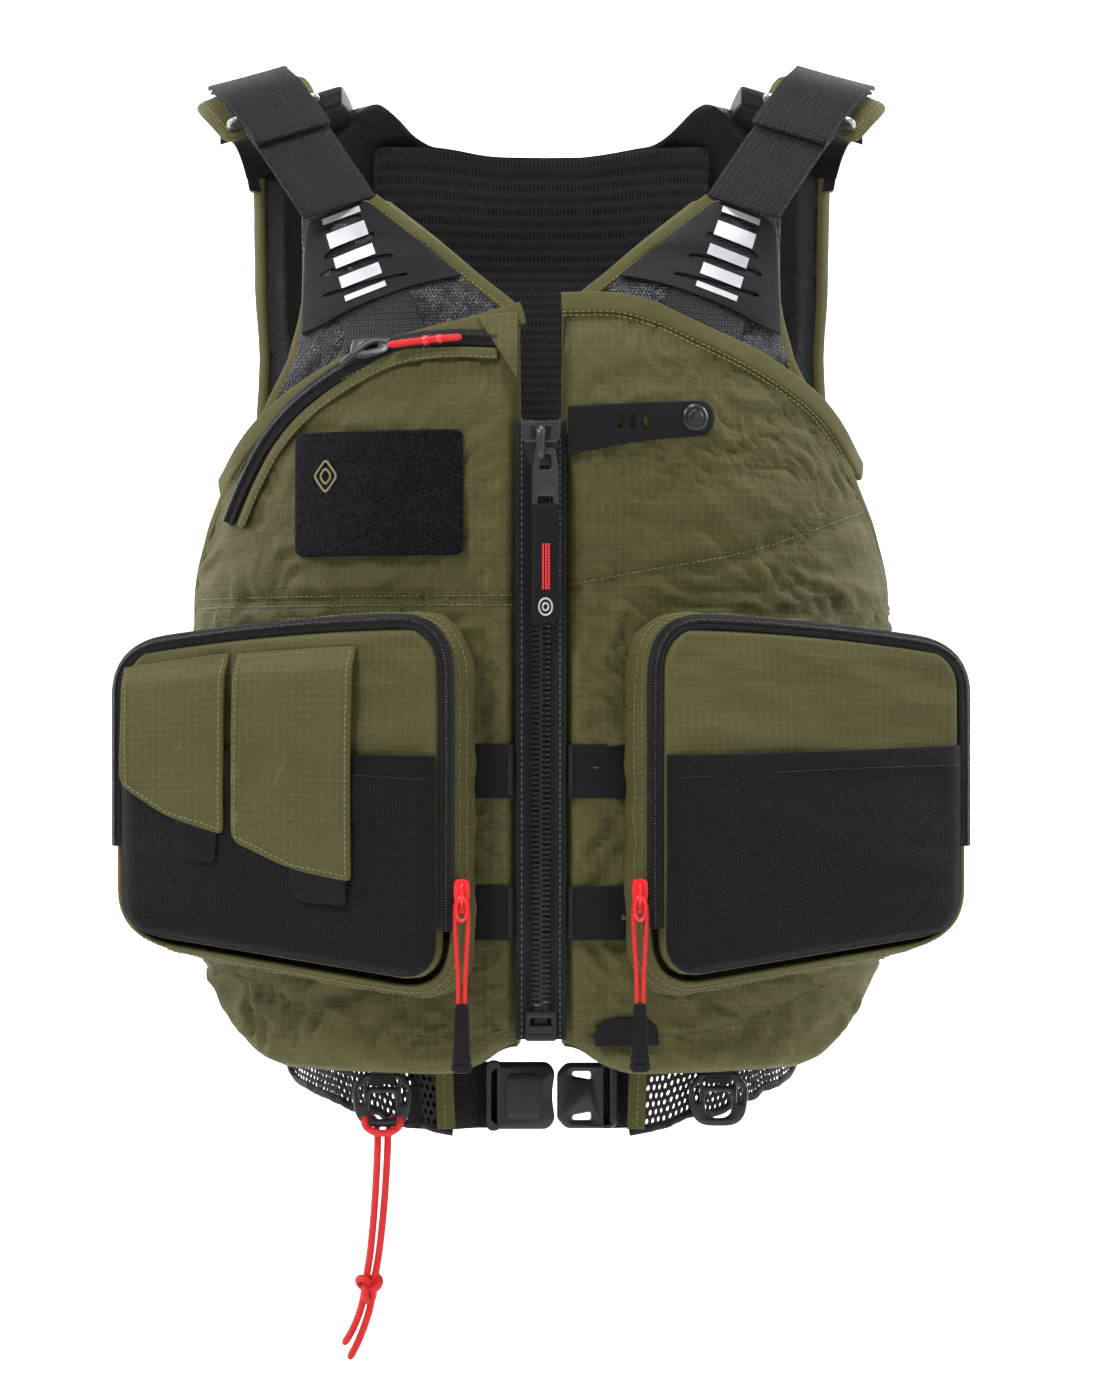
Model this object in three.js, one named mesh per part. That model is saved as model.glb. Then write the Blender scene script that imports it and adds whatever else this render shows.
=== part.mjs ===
// A buoyant fishing vest, in millimetres.
// +Z is up, the front faces -Y and +X is the wearer's left.
// The origin is the middle of the wearer's shoulder line.
import * as THREE from 'three';

// ---- driving dimensions ------------------------------------------------------------------------
const hipHalfWidth = 208;        // outside half width of the front panels at the pockets
const chestHalfWidth = 184;      // the same at the armholes
const frontDepth = 150;          // shoulder line to the face of the zip
const backHalfWidth = 205;       // outside half width of the back at the shoulder blades
const backDepth = 130;           // shoulder line to the outside of the back
const vestBottom = -568;         // lowest point of the front hem
const neckBottom = -138;         // where the two front edges part below the neck
const frontTop = -70;            // top of the front panels, under the shoulder straps
const frontThickness = 38;       // cover, foam and lining of a front panel
const strapEndThickness = 14;    // the same at the top of the panel
const backThickness = 26;
const backBottom = -332;         // lowest edge of the padded back
const coverWall = 2.4;
const liningWall = 1.6;
const sewnGap = 0.3;             // clearance that sewn and resting pieces keep
const runningGap = 0.5;          // clearance of pieces that move past each other
const curvedGap = 0.8;           // clearance between curved layers that lie on each other
const borderGap = 4;             // clearance round the edge of the foam inside its cover
const foamGap = 2;               // clearance between the foam and the fabric on its two faces

const zipTop = -206;
const zipBottom = -547;
const zipTapeHalf = 13.3;
const zipBeadHalf = 4.7;
const zipBeadDepth = 5;
const panelEdge = 14;            // half the distance between the two front edges

const strapWidth = 48;
const strapThickness = 4;
const beltWidth = 38;
const beltThickness = 2.2;

const pocketAngle = 22;          // degrees that a pocket turns back round the chest
const pocketReach = 186;         // shoulder line to the inner front edge of a pocket
const pocketStart = 48;          // centre line to the inner front edge of a pocket
const pocketLength = 211;
const pocketHeight = 206;
const pocketCorner = 28;
const pocketWall = 2.4;
const pocketZipWidth = 5.6;
const pocketZipDepth = 5;
const doorThickness = 8;
const stretchPocketThickness = 1.8;
const flapThickness = 3;

const patchWidth = 102;
const patchHeight = 70;
const patchThickness = 2.2;
const tabHeight = 30;
const tabThickness = 2.4;
const rubberThickness = 2.2;

const cordDiameter = 4.2;        // lanyard
const pullCordDiameter = 2.6;    // zip pulls

// ---- materials ---------------------------------------------------------------------------------
const makeMaterial = (colour, roughness, metalness = 0) =>
  new THREE.MeshStandardMaterial({ color: colour, roughness, metalness });
const olive = makeMaterial(0x565936, 0.85);
const nylon = makeMaterial(0x242124, 0.7);
const mesh = makeMaterial(0x121113, 0.9);
const foam = makeMaterial(0xb9b7ae, 0.95);
const webbing = makeMaterial(0x1a1a1c, 0.75);
const rubber = makeMaterial(0x1f1f21, 0.55);
const loopPile = makeMaterial(0x1b191c, 1);
const blackPlastic = makeMaterial(0x17181a, 0.45);
const greyPlastic = makeMaterial(0x55565a, 0.4);
const redPlastic = makeMaterial(0xe01b1b, 0.4);
const redCord = makeMaterial(0xe6201f, 0.7);
const buckleMetal = makeMaterial(0xa9abae, 0.35, 0.8);

const vest = new THREE.Group();

// ---- small helpers -----------------------------------------------------------------------------
const mix = (a, b, t) => a + (b - a) * t;
const radians = THREE.MathUtils.degToRad;
const smooth = (value, low, high) => THREE.MathUtils.smoothstep(value, low, high);
const point = (x, y, z) => new THREE.Vector3(x, y, z);

// A smooth value read from a short list of [height, value] pairs, lowest height first.
function profile(pairs) {
  const heights = pairs.map(([height]) => height);
  const values = pairs.map(([, value]) => value);
  return (z) => {
    const height = THREE.MathUtils.clamp(z, heights[0], heights[heights.length - 1]);
    const upper = Math.max(1, heights.findIndex((each) => each >= height));
    return mix(values[upper - 1], values[upper],
      smooth(height, heights[upper - 1], heights[upper]) * 0.35
      + ((height - heights[upper - 1]) / (heights[upper] - heights[upper - 1])) * 0.65);
  };
}

// Positions of a grid's rim, in order round it, as [row, column].
function rimOf(rows, columns) {
  const rim = [];
  for (let c = 0; c < columns; c += 1) rim.push([0, c]);
  for (let r = 0; r < rows; r += 1) rim.push([r, columns]);
  for (let c = columns; c > 0; c -= 1) rim.push([rows, c]);
  for (let r = rows; r > 0; r -= 1) rim.push([r, 0]);
  return rim;
}

// A closed solid between two grids of points. rings are loops that lie between the grids' rims.
// Each of outer, inner and the rings is a function of the row and column fractions.
function solid(rows, columns, outer, inner, rings = []) {
  const positions = [];
  const index = [];
  const add = (place) => positions.push(place.x, place.y, place.z) / 3 - 1;
  const rim = rimOf(rows, columns);
  const grid = (place) => {
    const ids = [];
    for (let r = 0; r <= rows; r += 1) {
      ids.push([]);
      for (let c = 0; c <= columns; c += 1) ids[r].push(add(place(r / rows, c / columns)));
    }
    return ids;
  };
  const face = (ids, flip) => {
    for (let r = 0; r < rows; r += 1) {
      for (let c = 0; c < columns; c += 1) {
        const [a, b, d, e] = [ids[r][c], ids[r][c + 1], ids[r + 1][c], ids[r + 1][c + 1]];
        index.push(...(flip ? [a, b, e, a, e, d] : [a, e, b, a, d, e]));
      }
    }
  };
  const outerIds = grid(outer);
  const innerIds = grid(inner);
  face(outerIds, false);
  face(innerIds, true);
  const loops = [
    rim.map(([r, c]) => outerIds[r][c]),
    ...rings.map((ring) => rim.map(([r, c]) => add(ring(r / rows, c / columns)))),
    rim.map(([r, c]) => innerIds[r][c]),
  ];
  for (let k = 0; k + 1 < loops.length; k += 1) {
    for (let i = 0; i < rim.length; i += 1) {
      const next = (i + 1) % rim.length;
      const [a, b, d, e] = [loops[k][i], loops[k][next], loops[k + 1][i], loops[k + 1][next]];
      index.push(a, b, e, a, e, d);
    }
  }
  const geometry = new THREE.BufferGeometry();
  geometry.setAttribute('position', new THREE.Float32BufferAttribute(positions, 3));
  geometry.setIndex(index);
  return facingOut(geometry);
}

// Turns a closed geometry's faces outwards.
function facingOut(geometry) {
  const places = geometry.getAttribute('position');
  const index = geometry.getIndex().array;
  const corner = [point(0, 0, 0), point(0, 0, 0), point(0, 0, 0)];
  let volume = 0;
  for (let i = 0; i < index.length; i += 3) {
    for (let k = 0; k < 3; k += 1) corner[k].fromBufferAttribute(places, index[i + k]);
    volume += corner[0].dot(corner[1].cross(corner[2]));
  }
  if (volume < 0) turnOver(geometry);
  return geometry;
}

function turnOver(geometry) {
  const index = geometry.getIndex();
  for (let i = 0; i < index.count; i += 3) {
    const second = index.getX(i + 1);
    index.setX(i + 1, index.getX(i + 2));
    index.setX(i + 2, second);
  }
}

// Pieces are drawn for the wearer's left; side -1 mirrors one to the right.
function addPiece(name, geometry, material, side = 1) {
  const shape = geometry.getIndex() ? geometry : indexed(geometry);
  if (side < 0) {
    shape.scale(-1, 1, 1);
    turnOver(shape);
  }
  shape.computeVertexNormals();
  const piece = new THREE.Mesh(shape, material);
  piece.name = name;
  vest.add(piece);
  return piece;
}

function indexed(geometry) {
  const count = geometry.getAttribute('position').count;
  geometry.setIndex([...Array(count).keys()]);
  return geometry;
}

// An outline with round corners and cuts, for flat plastic parts. Each corner is [x, y, radius].
function roundedShape(corners, cuts = []) {
  const shape = new THREE.Shape();
  tracePath(shape, corners, true);
  for (const cut of cuts) {
    const hole = new THREE.Path();
    tracePath(hole, cut, false);
    shape.holes.push(hole);
  }
  return shape;
}

function tracePath(path, given, anticlockwise) {
  const area = THREE.ShapeUtils.area(given.map(([x, y]) => new THREE.Vector2(x, y)));
  const corners = (area > 0) === anticlockwise ? given : [...given].reverse();
  const count = corners.length;
  corners.forEach(([x, y, radius], i) => {
    const [px, py] = corners[(i + count - 1) % count];
    const [nx, ny] = corners[(i + 1) % count];
    const before = new THREE.Vector2(px - x, py - y).setLength(radius);
    const after = new THREE.Vector2(nx - x, ny - y).setLength(radius);
    if (i === 0) path.moveTo(x + before.x, y + before.y);
    else path.lineTo(x + before.x, y + before.y);
    if (radius > 0) path.quadraticCurveTo(x, y, x + after.x, y + after.y);
  });
  path.closePath();
}

// A shape drawn in X and Z, standing between two depths in Y.
function plate(shape, nearY, farY, curveSegments = 3) {
  const geometry = new THREE.ExtrudeGeometry(shape, {
    depth: farY - nearY, bevelEnabled: false, curveSegments,
  });
  geometry.rotateX(Math.PI / 2);
  geometry.translate(0, farY, 0);
  return geometry;
}

// A shape drawn in X and Y, standing between two heights.
function bar(shape, lowZ, highZ, curveSegments = 3) {
  const geometry = new THREE.ExtrudeGeometry(shape, {
    depth: highZ - lowZ, bevelEnabled: false, curveSegments,
  });
  geometry.translate(0, 0, lowZ);
  return geometry;
}

function tube(route, diameter, sides, steps) {
  const section = new THREE.Shape();
  for (let i = 0; i < sides; i += 1) {
    const angle = (i / sides) * 2 * Math.PI;
    const place = [Math.cos(angle) * diameter / 2, Math.sin(angle) * diameter / 2];
    if (i === 0) section.moveTo(...place);
    else section.lineTo(...place);
  }
  const extrudePath = new THREE.CatmullRomCurve3(route.map((each) => point(...each)));
  return new THREE.ExtrudeGeometry(section, { steps, extrudePath, bevelEnabled: false });
}

// ---- the shape of the torso --------------------------------------------------------------------
const frontHalfWidth = profile([
  [-610, hipHalfWidth - 16], [-520, hipHalfWidth - 7], [-420, hipHalfWidth],
  [-300, hipHalfWidth - 1], [-240, mix(chestHalfWidth, hipHalfWidth, 0.7)],
  [-190, mix(chestHalfWidth, hipHalfWidth, 0.33)], [-140, chestHalfWidth],
  [-60, chestHalfWidth - 7], [10, chestHalfWidth - 11],
]);
const frontFace = profile([
  [-200, frontDepth], [-165, frontDepth - 7], [-140, frontDepth - 20], [-100, frontDepth - 46],
  [-60, frontDepth - 80], [-20, frontDepth - 118],
]);
const panelThickness = profile([
  [-210, frontThickness], [-130, mix(strapEndThickness, frontThickness, 0.55)],
  [frontTop, strapEndThickness],
]);
const backStep = frontThickness - backThickness;
const backWidthAt = profile([
  [-610, hipHalfWidth - 16 - backStep], [-520, hipHalfWidth - 7 - backStep],
  [-420, hipHalfWidth - backStep],
  [backBottom, hipHalfWidth - backStep], [-200, backHalfWidth], [0, backHalfWidth],
]);
const backFace = profile([
  [-610, backDepth - 10], [-560, backDepth - 8], [backBottom, backDepth - 4], [-200, backDepth],
  [-100, backDepth - 8], [-40, backDepth - 34], [0, backDepth - 72],
]);

// A point on the front, inset from its outside; turn is the angle round from the middle.
const onFront = (turn, z, inset) => point(
  (frontHalfWidth(z) - inset) * Math.sin(turn), -(frontFace(z) - inset) * Math.cos(turn), z);
const onBack = (turn, z, inset) => point(
  (backWidthAt(z) - inset) * Math.sin(turn), (backFace(z) - inset) * Math.cos(turn), z);
const turnAt = (x, z) => Math.asin(x / frontHalfWidth(z));
const frontAtX = (x, z, inset) => onFront(Math.asin(x / (frontHalfWidth(z) - inset)), z, inset);

// ---- front panels ------------------------------------------------------------------------------
const sideSeam = 89.85;           // degrees round from the middle where front and back layers meet
const armholeTurn = profile([
  [-290, 84], [-265, 77], [-235, 68], [-200, 58], [-165, 51.5], [-130, 49.5], [frontTop, 52],
]);
const panelRows = [
  frontTop, -90, -112, -136, -166, -200, -240, -285, -340, -400, -460, -515, vestBottom,
];
const neckSlope = 1.19;          // how far the neck edge moves out for each millimetre of height
const sideLift = 60;             // how much higher the hem is at the side
const hemCurveStart = -470;

// A function of row and column over one front panel, edge in from its border by a margin.
function frontPanel(inset, margin) {
  return (r, c) => {
    const row = r * (panelRows.length - 1);
    const low = Math.min(Math.floor(row), panelRows.length - 2);
    const nominal = mix(panelRows[low], panelRows[low + 1], row - low);
    const level = THREE.MathUtils.clamp(nominal, vestBottom + margin, frontTop - margin);
    const parted = Math.max(0, level - neckBottom) * neckSlope;
    const edge = margin * (parted > 0 ? 1.4 : 1);
    const start = turnAt(panelEdge + parted + edge, level);
    const end = radians(armholeTurn(level)) - margin / frontHalfWidth(level);
    const turn = mix(start, end, c);
    const lift = sideLift * smooth(turn, radians(40), radians(88));
    const z = level + lift * smooth(-level, -hemCurveStart, -vestBottom);
    return onFront(turn, z, inset(level));
  };
}

function addFrontPanel(side, sideName) {
  const rows = panelRows.length - 1;
  const columns = 8;
  const inner = (z) => panelThickness(z) - liningWall;
  const inset = coverWall + foamGap;
  const margin = coverWall + borderGap;
  addPiece(`front_cover_${sideName}`, solid(rows, columns,
    frontPanel(() => 0, 0), frontPanel(() => coverWall, coverWall),
    [frontPanel((z) => inner(z) - sewnGap, 0), frontPanel((z) => inner(z) - sewnGap, coverWall)],
  ), olive, side);
  addPiece(`front_foam_${sideName}`, solid(rows, columns,
    frontPanel(() => inset, margin), frontPanel((z) => inner(z) - foamGap, margin),
  ), foam, side);
  addPiece(`front_lining_${sideName}`, solid(rows, columns,
    frontPanel(inner, 0), frontPanel((z) => panelThickness(z), 0),
  ), nylon, side);
}

// ---- shoulder straps, their loops and the rubber yokes -----------------------------------------
// The strap climbs from the yoke to the top of the shoulder, twisting outwards.
const strapRoute = new THREE.CatmullRomCurve3([
  point(116, -73, -76), point(128, -61, -58), point(143, -45, -35), point(156, -31, -17),
  point(166, -20, -3),
]);
const strapAcross = point(-0.875, 0.371, 0.312).normalize();

function strapPoint(along, across, lift) {
  const middle = strapRoute.getPoint(along);
  const forward = strapRoute.getTangent(along);
  const width = strapAcross.clone().addScaledVector(forward, -strapAcross.dot(forward)).normalize();
  const out = forward.clone().cross(width).normalize();
  if (out.y > 0) out.negate();
  return middle.addScaledVector(width, across).addScaledVector(out, lift);
}

function addShoulderStrap(side, sideName) {
  const half = strapWidth / 2;
  addPiece(`shoulder_strap_${sideName}`, solid(6, 2,
    (r, c) => strapPoint(r, mix(-half, half, c), strapThickness),
    (r, c) => strapPoint(r, mix(-half, half, c), 0),
  ), webbing, side);
}

function addStrapLoop(side, sideName) {
  const bore = strapWidth / 2 + 1;
  const barWidth = 5;
  const height = strapThickness / 2 + 1;
  const outerCorner = 4;
  const ring = roundedShape([
    [-bore - barWidth, -height - 2.5, outerCorner], [bore + barWidth, -height - 2.5, outerCorner],
    [bore + barWidth, height + 2.5, outerCorner], [-bore - barWidth, height + 2.5, outerCorner],
  ], [[[-bore, -height, 1], [-bore, height, 1], [bore, height, 1], [bore, -height, 1]]]);
  const geometry = new THREE.ExtrudeGeometry(ring, {
    depth: 4, bevelEnabled: false, curveSegments: 2,
  });
  const along = 0.7;
  const forward = strapRoute.getTangent(along);
  const width = strapAcross.clone().addScaledVector(forward, -strapAcross.dot(forward)).normalize();
  const out = forward.clone().cross(width).normalize();
  const turned = new THREE.Matrix4().makeBasis(width, out, forward);
  if (turned.determinant() < 0) turned.makeBasis(width, out.negate(), forward);
  const middle = strapPoint(along, 0, strapThickness / 2);
  geometry.applyMatrix4(turned.setPosition(middle));
  addPiece(`strap_loop_${sideName}`, geometry, buckleMetal, side);
}

// The moulded yoke covers the top of the panel, from the neck edge to the armhole edge.
function addRubberYoke(side, sideName) {
  const rise = curvedGap;
  const place = (lift) => (r, c) => {
    const z = mix(frontTop - 9, mix(-152, -124, c), r) + 6 * Math.sin(Math.PI * c) * r;
    const parted = panelEdge + Math.max(0, z - neckBottom) * neckSlope;
    const inner = turnAt(parted + 7, z);
    const outer = radians(armholeTurn(z)) - 5 / frontHalfWidth(z);
    return onFront(mix(outer, inner, c), z, -lift);
  };
  addPiece(`rubber_yoke_${sideName}`, solid(5, 5, place(rise + rubberThickness), place(rise)), rubber, side);
}

// ---- front zip ---------------------------------------------------------------------------------
const zipFace = -(frontDepth + 3.5);
const sliderCentre = -218;
const sliderRise = 3.2;           // how far the main slider stands out from the zip

function addZipHalf(side, sideName) {
  const section = new THREE.Shape([
    [runningGap / 2, zipFace], [zipBeadHalf, zipFace], [zipBeadHalf, zipFace + 3],
    [zipTapeHalf, zipFace + 3], [zipTapeHalf, zipFace + 4.2], [zipBeadHalf, zipFace + 4.2],
    [zipBeadHalf, zipFace + zipBeadDepth],
    [runningGap / 2, zipFace + zipBeadDepth],
  ].map(([x, y]) => new THREE.Vector2(x, y)));
  addPiece(`zip_half_${sideName}`, bar(section, zipBottom, zipTop), blackPlastic, side);
}

function addMainSlider() {
  const halfWidth = 9;
  const front = zipFace - sliderRise;
  const section = new THREE.Shape([
    [-halfWidth, front], [halfWidth, front], [halfWidth, zipFace + 2.4],
    [zipBeadHalf + runningGap, zipFace + 2.4], [zipBeadHalf + runningGap, zipFace - runningGap],
    [-zipBeadHalf - runningGap, zipFace - runningGap], [-zipBeadHalf - runningGap, zipFace + 2.4],
    [-halfWidth, zipFace + 2.4],
  ].map(([x, y]) => new THREE.Vector2(x, y)));
  addPiece('main_slider', bar(section, sliderCentre - 12, sliderCentre + 10), blackPlastic);
}

const pullTop = sliderCentre - 1;
const pullFace = zipFace - sliderRise - runningGap - sewnGap;

function addMainPull() {
  const middle = 2.5;
  const half = 7.5;
  const frame = roundedShape([
    [middle - half, pullTop - 40, 3], [middle + half, pullTop - 40, 3],
    [middle + half - 2, pullTop, 3], [middle - half + 2, pullTop, 3],
  ], [[
    [middle - 3.5, pullTop - 14, 1], [middle - 3.5, pullTop - 5, 1],
    [middle + 3.5, pullTop - 5, 1], [middle + 3.5, pullTop - 14, 1],
  ]]);
  addPiece('main_pull_frame', plate(frame, pullFace - 3.2, pullFace), greyPlastic);
  const tab = roundedShape([
    [middle - 8, pullTop - 97, 4], [middle + 8, pullTop - 97, 4],
    [middle + 8, pullTop - 40 - sewnGap, 1], [middle - 8, pullTop - 40 - sewnGap, 1],
  ]);
  addPiece('main_pull_tab', plate(tab, pullFace - 3.6, pullFace), rubber);
}

// ---- cargo pockets -----------------------------------------------------------------------------
const pocketAcross = point(Math.cos(radians(pocketAngle)), Math.sin(radians(pocketAngle)), 0);
const pocketOut = point(Math.sin(radians(pocketAngle)), -Math.cos(radians(pocketAngle)), 0);
const pocketTopAt = (u) => -312 - 17 * (u / pocketLength) ** 2;
const pocketBottomAt = (u) => -522 + 28 * (u / pocketLength);

// A point in a pocket's own frame: u out from its inner edge, v down from its top, d outwards.
function inPocket(u, v, d) {
  const z = mix(pocketTopAt(u), pocketBottomAt(u), v / pocketHeight);
  return point(pocketStart, -pocketReach, 0).addScaledVector(pocketAcross, u)
    .addScaledVector(pocketOut, d).setZ(z);
}

// The same line in u and v, followed back along the pocket's depth until it meets the panel.
function onPanel(u, v, gap) {
  const start = inPocket(u, v, 0);
  const a = 1 / (frontHalfWidth(start.z) + gap) ** 2;
  const b = 1 / (frontFace(start.z) + gap) ** 2;
  const qa = a * pocketOut.x ** 2 + b * pocketOut.y ** 2;
  const qb = -2 * (a * start.x * pocketOut.x + b * start.y * pocketOut.y);
  const qc = a * start.x ** 2 + b * start.y ** 2 - 1;
  const back = (-qb - Math.sqrt(Math.max(0, qb * qb - 4 * qa * qc))) / (2 * qa);
  return start.addScaledVector(pocketOut, -back);
}

// Row and column fractions spread over a rectangle with round corners, as [u, v].
function roundedPlace(r, c, first, margin) {
  const radius = pocketCorner - margin;
  const v = margin + (pocketHeight - 2 * margin) * r;
  const near = Math.min(v - margin, pocketHeight - margin - v);
  const missing = near < radius ? radius - Math.sqrt(radius ** 2 - (radius - near) ** 2) : 0;
  return [mix(first + margin + missing, pocketLength - margin - missing, c), v];
}
const cornerRows = (r) => 0.5 - 0.5 * Math.cos(Math.PI * r) * 0.35 - (0.5 - r) * 0.65;

function pocketGrid(first, margin, place) {
  return (r, c) => place(...roundedPlace(cornerRows(r), c, first, margin));
}

const tubFront = -doorThickness - sewnGap;
const footprint = (u) => 5 + 0.8 * u;

function addPocketTub(side, sideName, first) {
  addPiece(`pocket_tub_${sideName}`, solid(9, 8,
    pocketGrid(first, 0, (u, v) => onPanel(footprint(u), v, curvedGap)),
    pocketGrid(first, pocketWall, (u, v) => onPanel(footprint(u), v, curvedGap + pocketWall)),
    [
      pocketGrid(first, 0, (u, v) => inPocket(u, v, tubFront)),
      pocketGrid(first, pocketWall, (u, v) => inPocket(u, v, tubFront)),
    ]), olive, side);
}

// The outline of a pocket from low on its inner side, over the top and down its outer side.
function pocketEdge(first, margin) {
  const radius = pocketCorner - margin;
  const left = first + margin;
  const right = pocketLength - margin;
  const places = [[left, pocketHeight - 34], [left, 110], [left, pocketCorner]];
  const arcSteps = 5;
  for (let i = 1; i <= arcSteps; i += 1) {
    const angle = radians((90 / arcSteps) * i);
    places.push([left + radius * (1 - Math.cos(angle)), margin + radius * (1 - Math.sin(angle))]);
  }
  places.push([mix(left, right, 0.5), margin]);
  for (let i = 0; i <= arcSteps; i += 1) {
    const angle = radians((90 / arcSteps) * i);
    places.push([right - radius * (1 - Math.sin(angle)), margin + radius * (1 - Math.cos(angle))]);
  }
  places.push([right, 90], [right, 140]);
  return places;
}

function addPocketZip(side, sideName, first) {
  const outer = pocketEdge(first, 0);
  const inner = pocketEdge(first, pocketZipWidth);
  const last = outer.length - 1;
  const place = (d) => (r, c) => {
    const [u, v] = c === 0 ? outer[Math.round(r * last)] : inner[Math.round(r * last)];
    return inPocket(u, v, d);
  };
  addPiece(`pocket_zip_${sideName}`, solid(last, 1,
    place(tubFront + sewnGap + pocketZipDepth), place(tubFront + sewnGap)), blackPlastic, side);
}

const doorMargin = pocketZipWidth + curvedGap;

function addPocketDoor(side, sideName, first) {
  addPiece(`pocket_door_${sideName}`, solid(8, 6,
    pocketGrid(first, doorMargin, (u, v) => inPocket(u, v, 0)),
    pocketGrid(first, doorMargin, (u, v) => inPocket(u, v, -doorThickness))), olive, side);
  const low = pocketHeight - doorMargin - 2;
  const place = (d) => (r, c) => {
    const v = mix(76, low, r);
    const near = low - v;
    const radius = pocketCorner - doorMargin;
    const missing = near < radius ? radius - Math.sqrt(radius ** 2 - (radius - near) ** 2) : 0;
    const u = mix(first + doorMargin + 2 + missing, pocketLength - doorMargin - 2 - missing, c);
    return inPocket(u, v, d);
  };
  addPiece(`stretch_pocket_${sideName}`, solid(6, 5,
    place(sewnGap + stretchPocketThickness), place(sewnGap)), mesh, side);
}

// A tool flap on the pocket door: from its top at v 14, hanging to a slanting lower edge.
const flapTop = 15;
const flapDepth = 2 * sewnGap + stretchPocketThickness;

function addFlap(name, from, to, lowFrom, lowTo) {
  const place = (d) => (r, c) => {
    const u = mix(from, to, c);
    return inPocket(u, mix(flapTop, mix(lowFrom, lowTo, c), r), d);
  };
  addPiece(name, solid(2, 2, place(flapDepth + flapThickness), place(flapDepth)), olive, -1);
}

// ---- zip sliders and their pulls ---------------------------------------------------------------
const pocketSliderTop = -456;
const pocketSliderLength = 20;

function addPocketSlider(side, sideName, first) {
  const edge = inPocket(first, 150, tubFront + 2);
  const middle = edge.x - 5.2;
  const body = roundedShape([
    [middle - 4.2, pocketSliderTop - pocketSliderLength, 2],
    [middle + 4.2, pocketSliderTop - pocketSliderLength, 2],
    [middle + 4.2, pocketSliderTop, 3], [middle - 4.2, pocketSliderTop, 3],
  ]);
  addPiece(`pocket_slider_${sideName}`, plate(body, edge.y - 5, edge.y + 1), redPlastic, side);
  const eyeY = edge.y - 5 - pullCordDiameter / 2 - sewnGap;
  const eyeZ = pocketSliderTop - 12;
  const drop = eyeZ - 56;
  const half = 3.4;
  const route = [
    [middle - 1.6, eyeY, drop], [middle - 1.9, eyeY, drop + 12], [middle - 2.6, eyeY, drop + 26],
    [middle - half, eyeY, drop + 40], [middle - half, eyeY, eyeZ - 6], [middle - half * 0.8, eyeY, eyeZ - 1.5],
    [middle, eyeY, eyeZ + 0.4], [middle + half * 0.8, eyeY, eyeZ - 1.5], [middle + half, eyeY, eyeZ - 6],
    [middle + half, eyeY, drop + 40], [middle + 2.6, eyeY, drop + 26], [middle + 1.9, eyeY, drop + 12],
    [middle + 1.6, eyeY, drop],
  ];
  addPiece(`pull_cord_${sideName}`, tube(route, pullCordDiameter, 8, 26), redCord, side);
  const gripTop = drop - sewnGap;
  const grip = roundedShape([
    [middle - 5, gripTop - 38, 2], [middle + 5, gripTop - 38, 2],
    [middle + 3.8, gripTop, 1], [middle - 3.8, gripTop, 1],
  ]);
  addPiece(`pull_grip_${sideName}`, plate(grip, eyeY - 3, eyeY + 3), rubber, side);
}

// ---- chest pocket on the right -----------------------------------------------------------------
// The zip runs from beside the front edge, up and over, and down beside the armhole.
const chestZip = [
  [24, -157], [54, -156], [84, -160], [112, -173], [137, -190], [156, -210], [170, -234], [180, -256],
];

function addChestZip() {
  const half = 4;
  const line = new THREE.SplineCurve(chestZip.map(([x, z]) => new THREE.Vector2(x, z)));
  const place = (lift) => (r, c) => {
    const along = line.getTangent(r);
    const shift = mix(-half, half, c);
    const at = line.getPoint(r).add(new THREE.Vector2(-along.y, along.x).multiplyScalar(shift));
    return onFront(turnAt(at.x, at.y), at.y, -lift);
  };
  addPiece('chest_zip', solid(16, 1, place(curvedGap + 2.2), place(curvedGap)), blackPlastic, -1);
}

const chestCord = [
  [85.5, -137.6, -160.4], [79, -138.4, -159.6], [72, -139.4, -158.8], [65, -140.3, -158],
  [58, -141.1, -157.3], [51, -141.8, -156.8], [44, -142.4, -156.4],
];

function addChestSlider() {
  const x = 94;
  const z = -161;
  const turn = turnAt(x, z);
  const base = onFront(turn, z, -3.6);
  const lean = Math.atan2(frontDepth * Math.sin(turn), frontHalfWidth(z) * Math.cos(turn));
  const body = roundedShape([[-13, -6, 3], [11, -5, 3], [11, 5, 3], [-13, 6, 3]]);
  const geometry = plate(body, -5, 0);
  geometry.rotateX(-0.1);
  geometry.rotateZ(lean);
  geometry.translate(base.x, base.y - 0.9, base.z);
  addPiece('chest_slider', geometry, greyPlastic, -1);
  addPiece('chest_cord', tube(chestCord, 4, 8, 12), redCord, -1);
}

// The loop panel follows the chest in flat strips; its middle strip is the widest.
function addLoopPatch() {
  const middleX = 93;
  const stripEdges = [-0.5, -0.36, -0.18, 0.18, 0.36, 0.5];
  const low = -278;
  const width = frontHalfWidth(low) + 1.1;
  const depth = frontDepth + 1.1;
  const startTurn = Math.asin(middleX / width);
  const perRadian = Math.hypot(width * Math.cos(startTurn), depth * Math.sin(startTurn));
  const at = (share, lift) => {
    const turn = startTurn + (share * patchWidth) / perRadian;
    return new THREE.Vector2((width + lift) * Math.sin(turn), -(depth + lift) * Math.cos(turn));
  };
  const outline = [
    ...stripEdges.map((share) => at(share, patchThickness)),
    ...[...stripEdges].reverse().map((share) => at(share, 0)),
  ];
  addPiece('loop_patch', bar(new THREE.Shape(outline), low, low + patchHeight), loopPile, -1);
}

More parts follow.
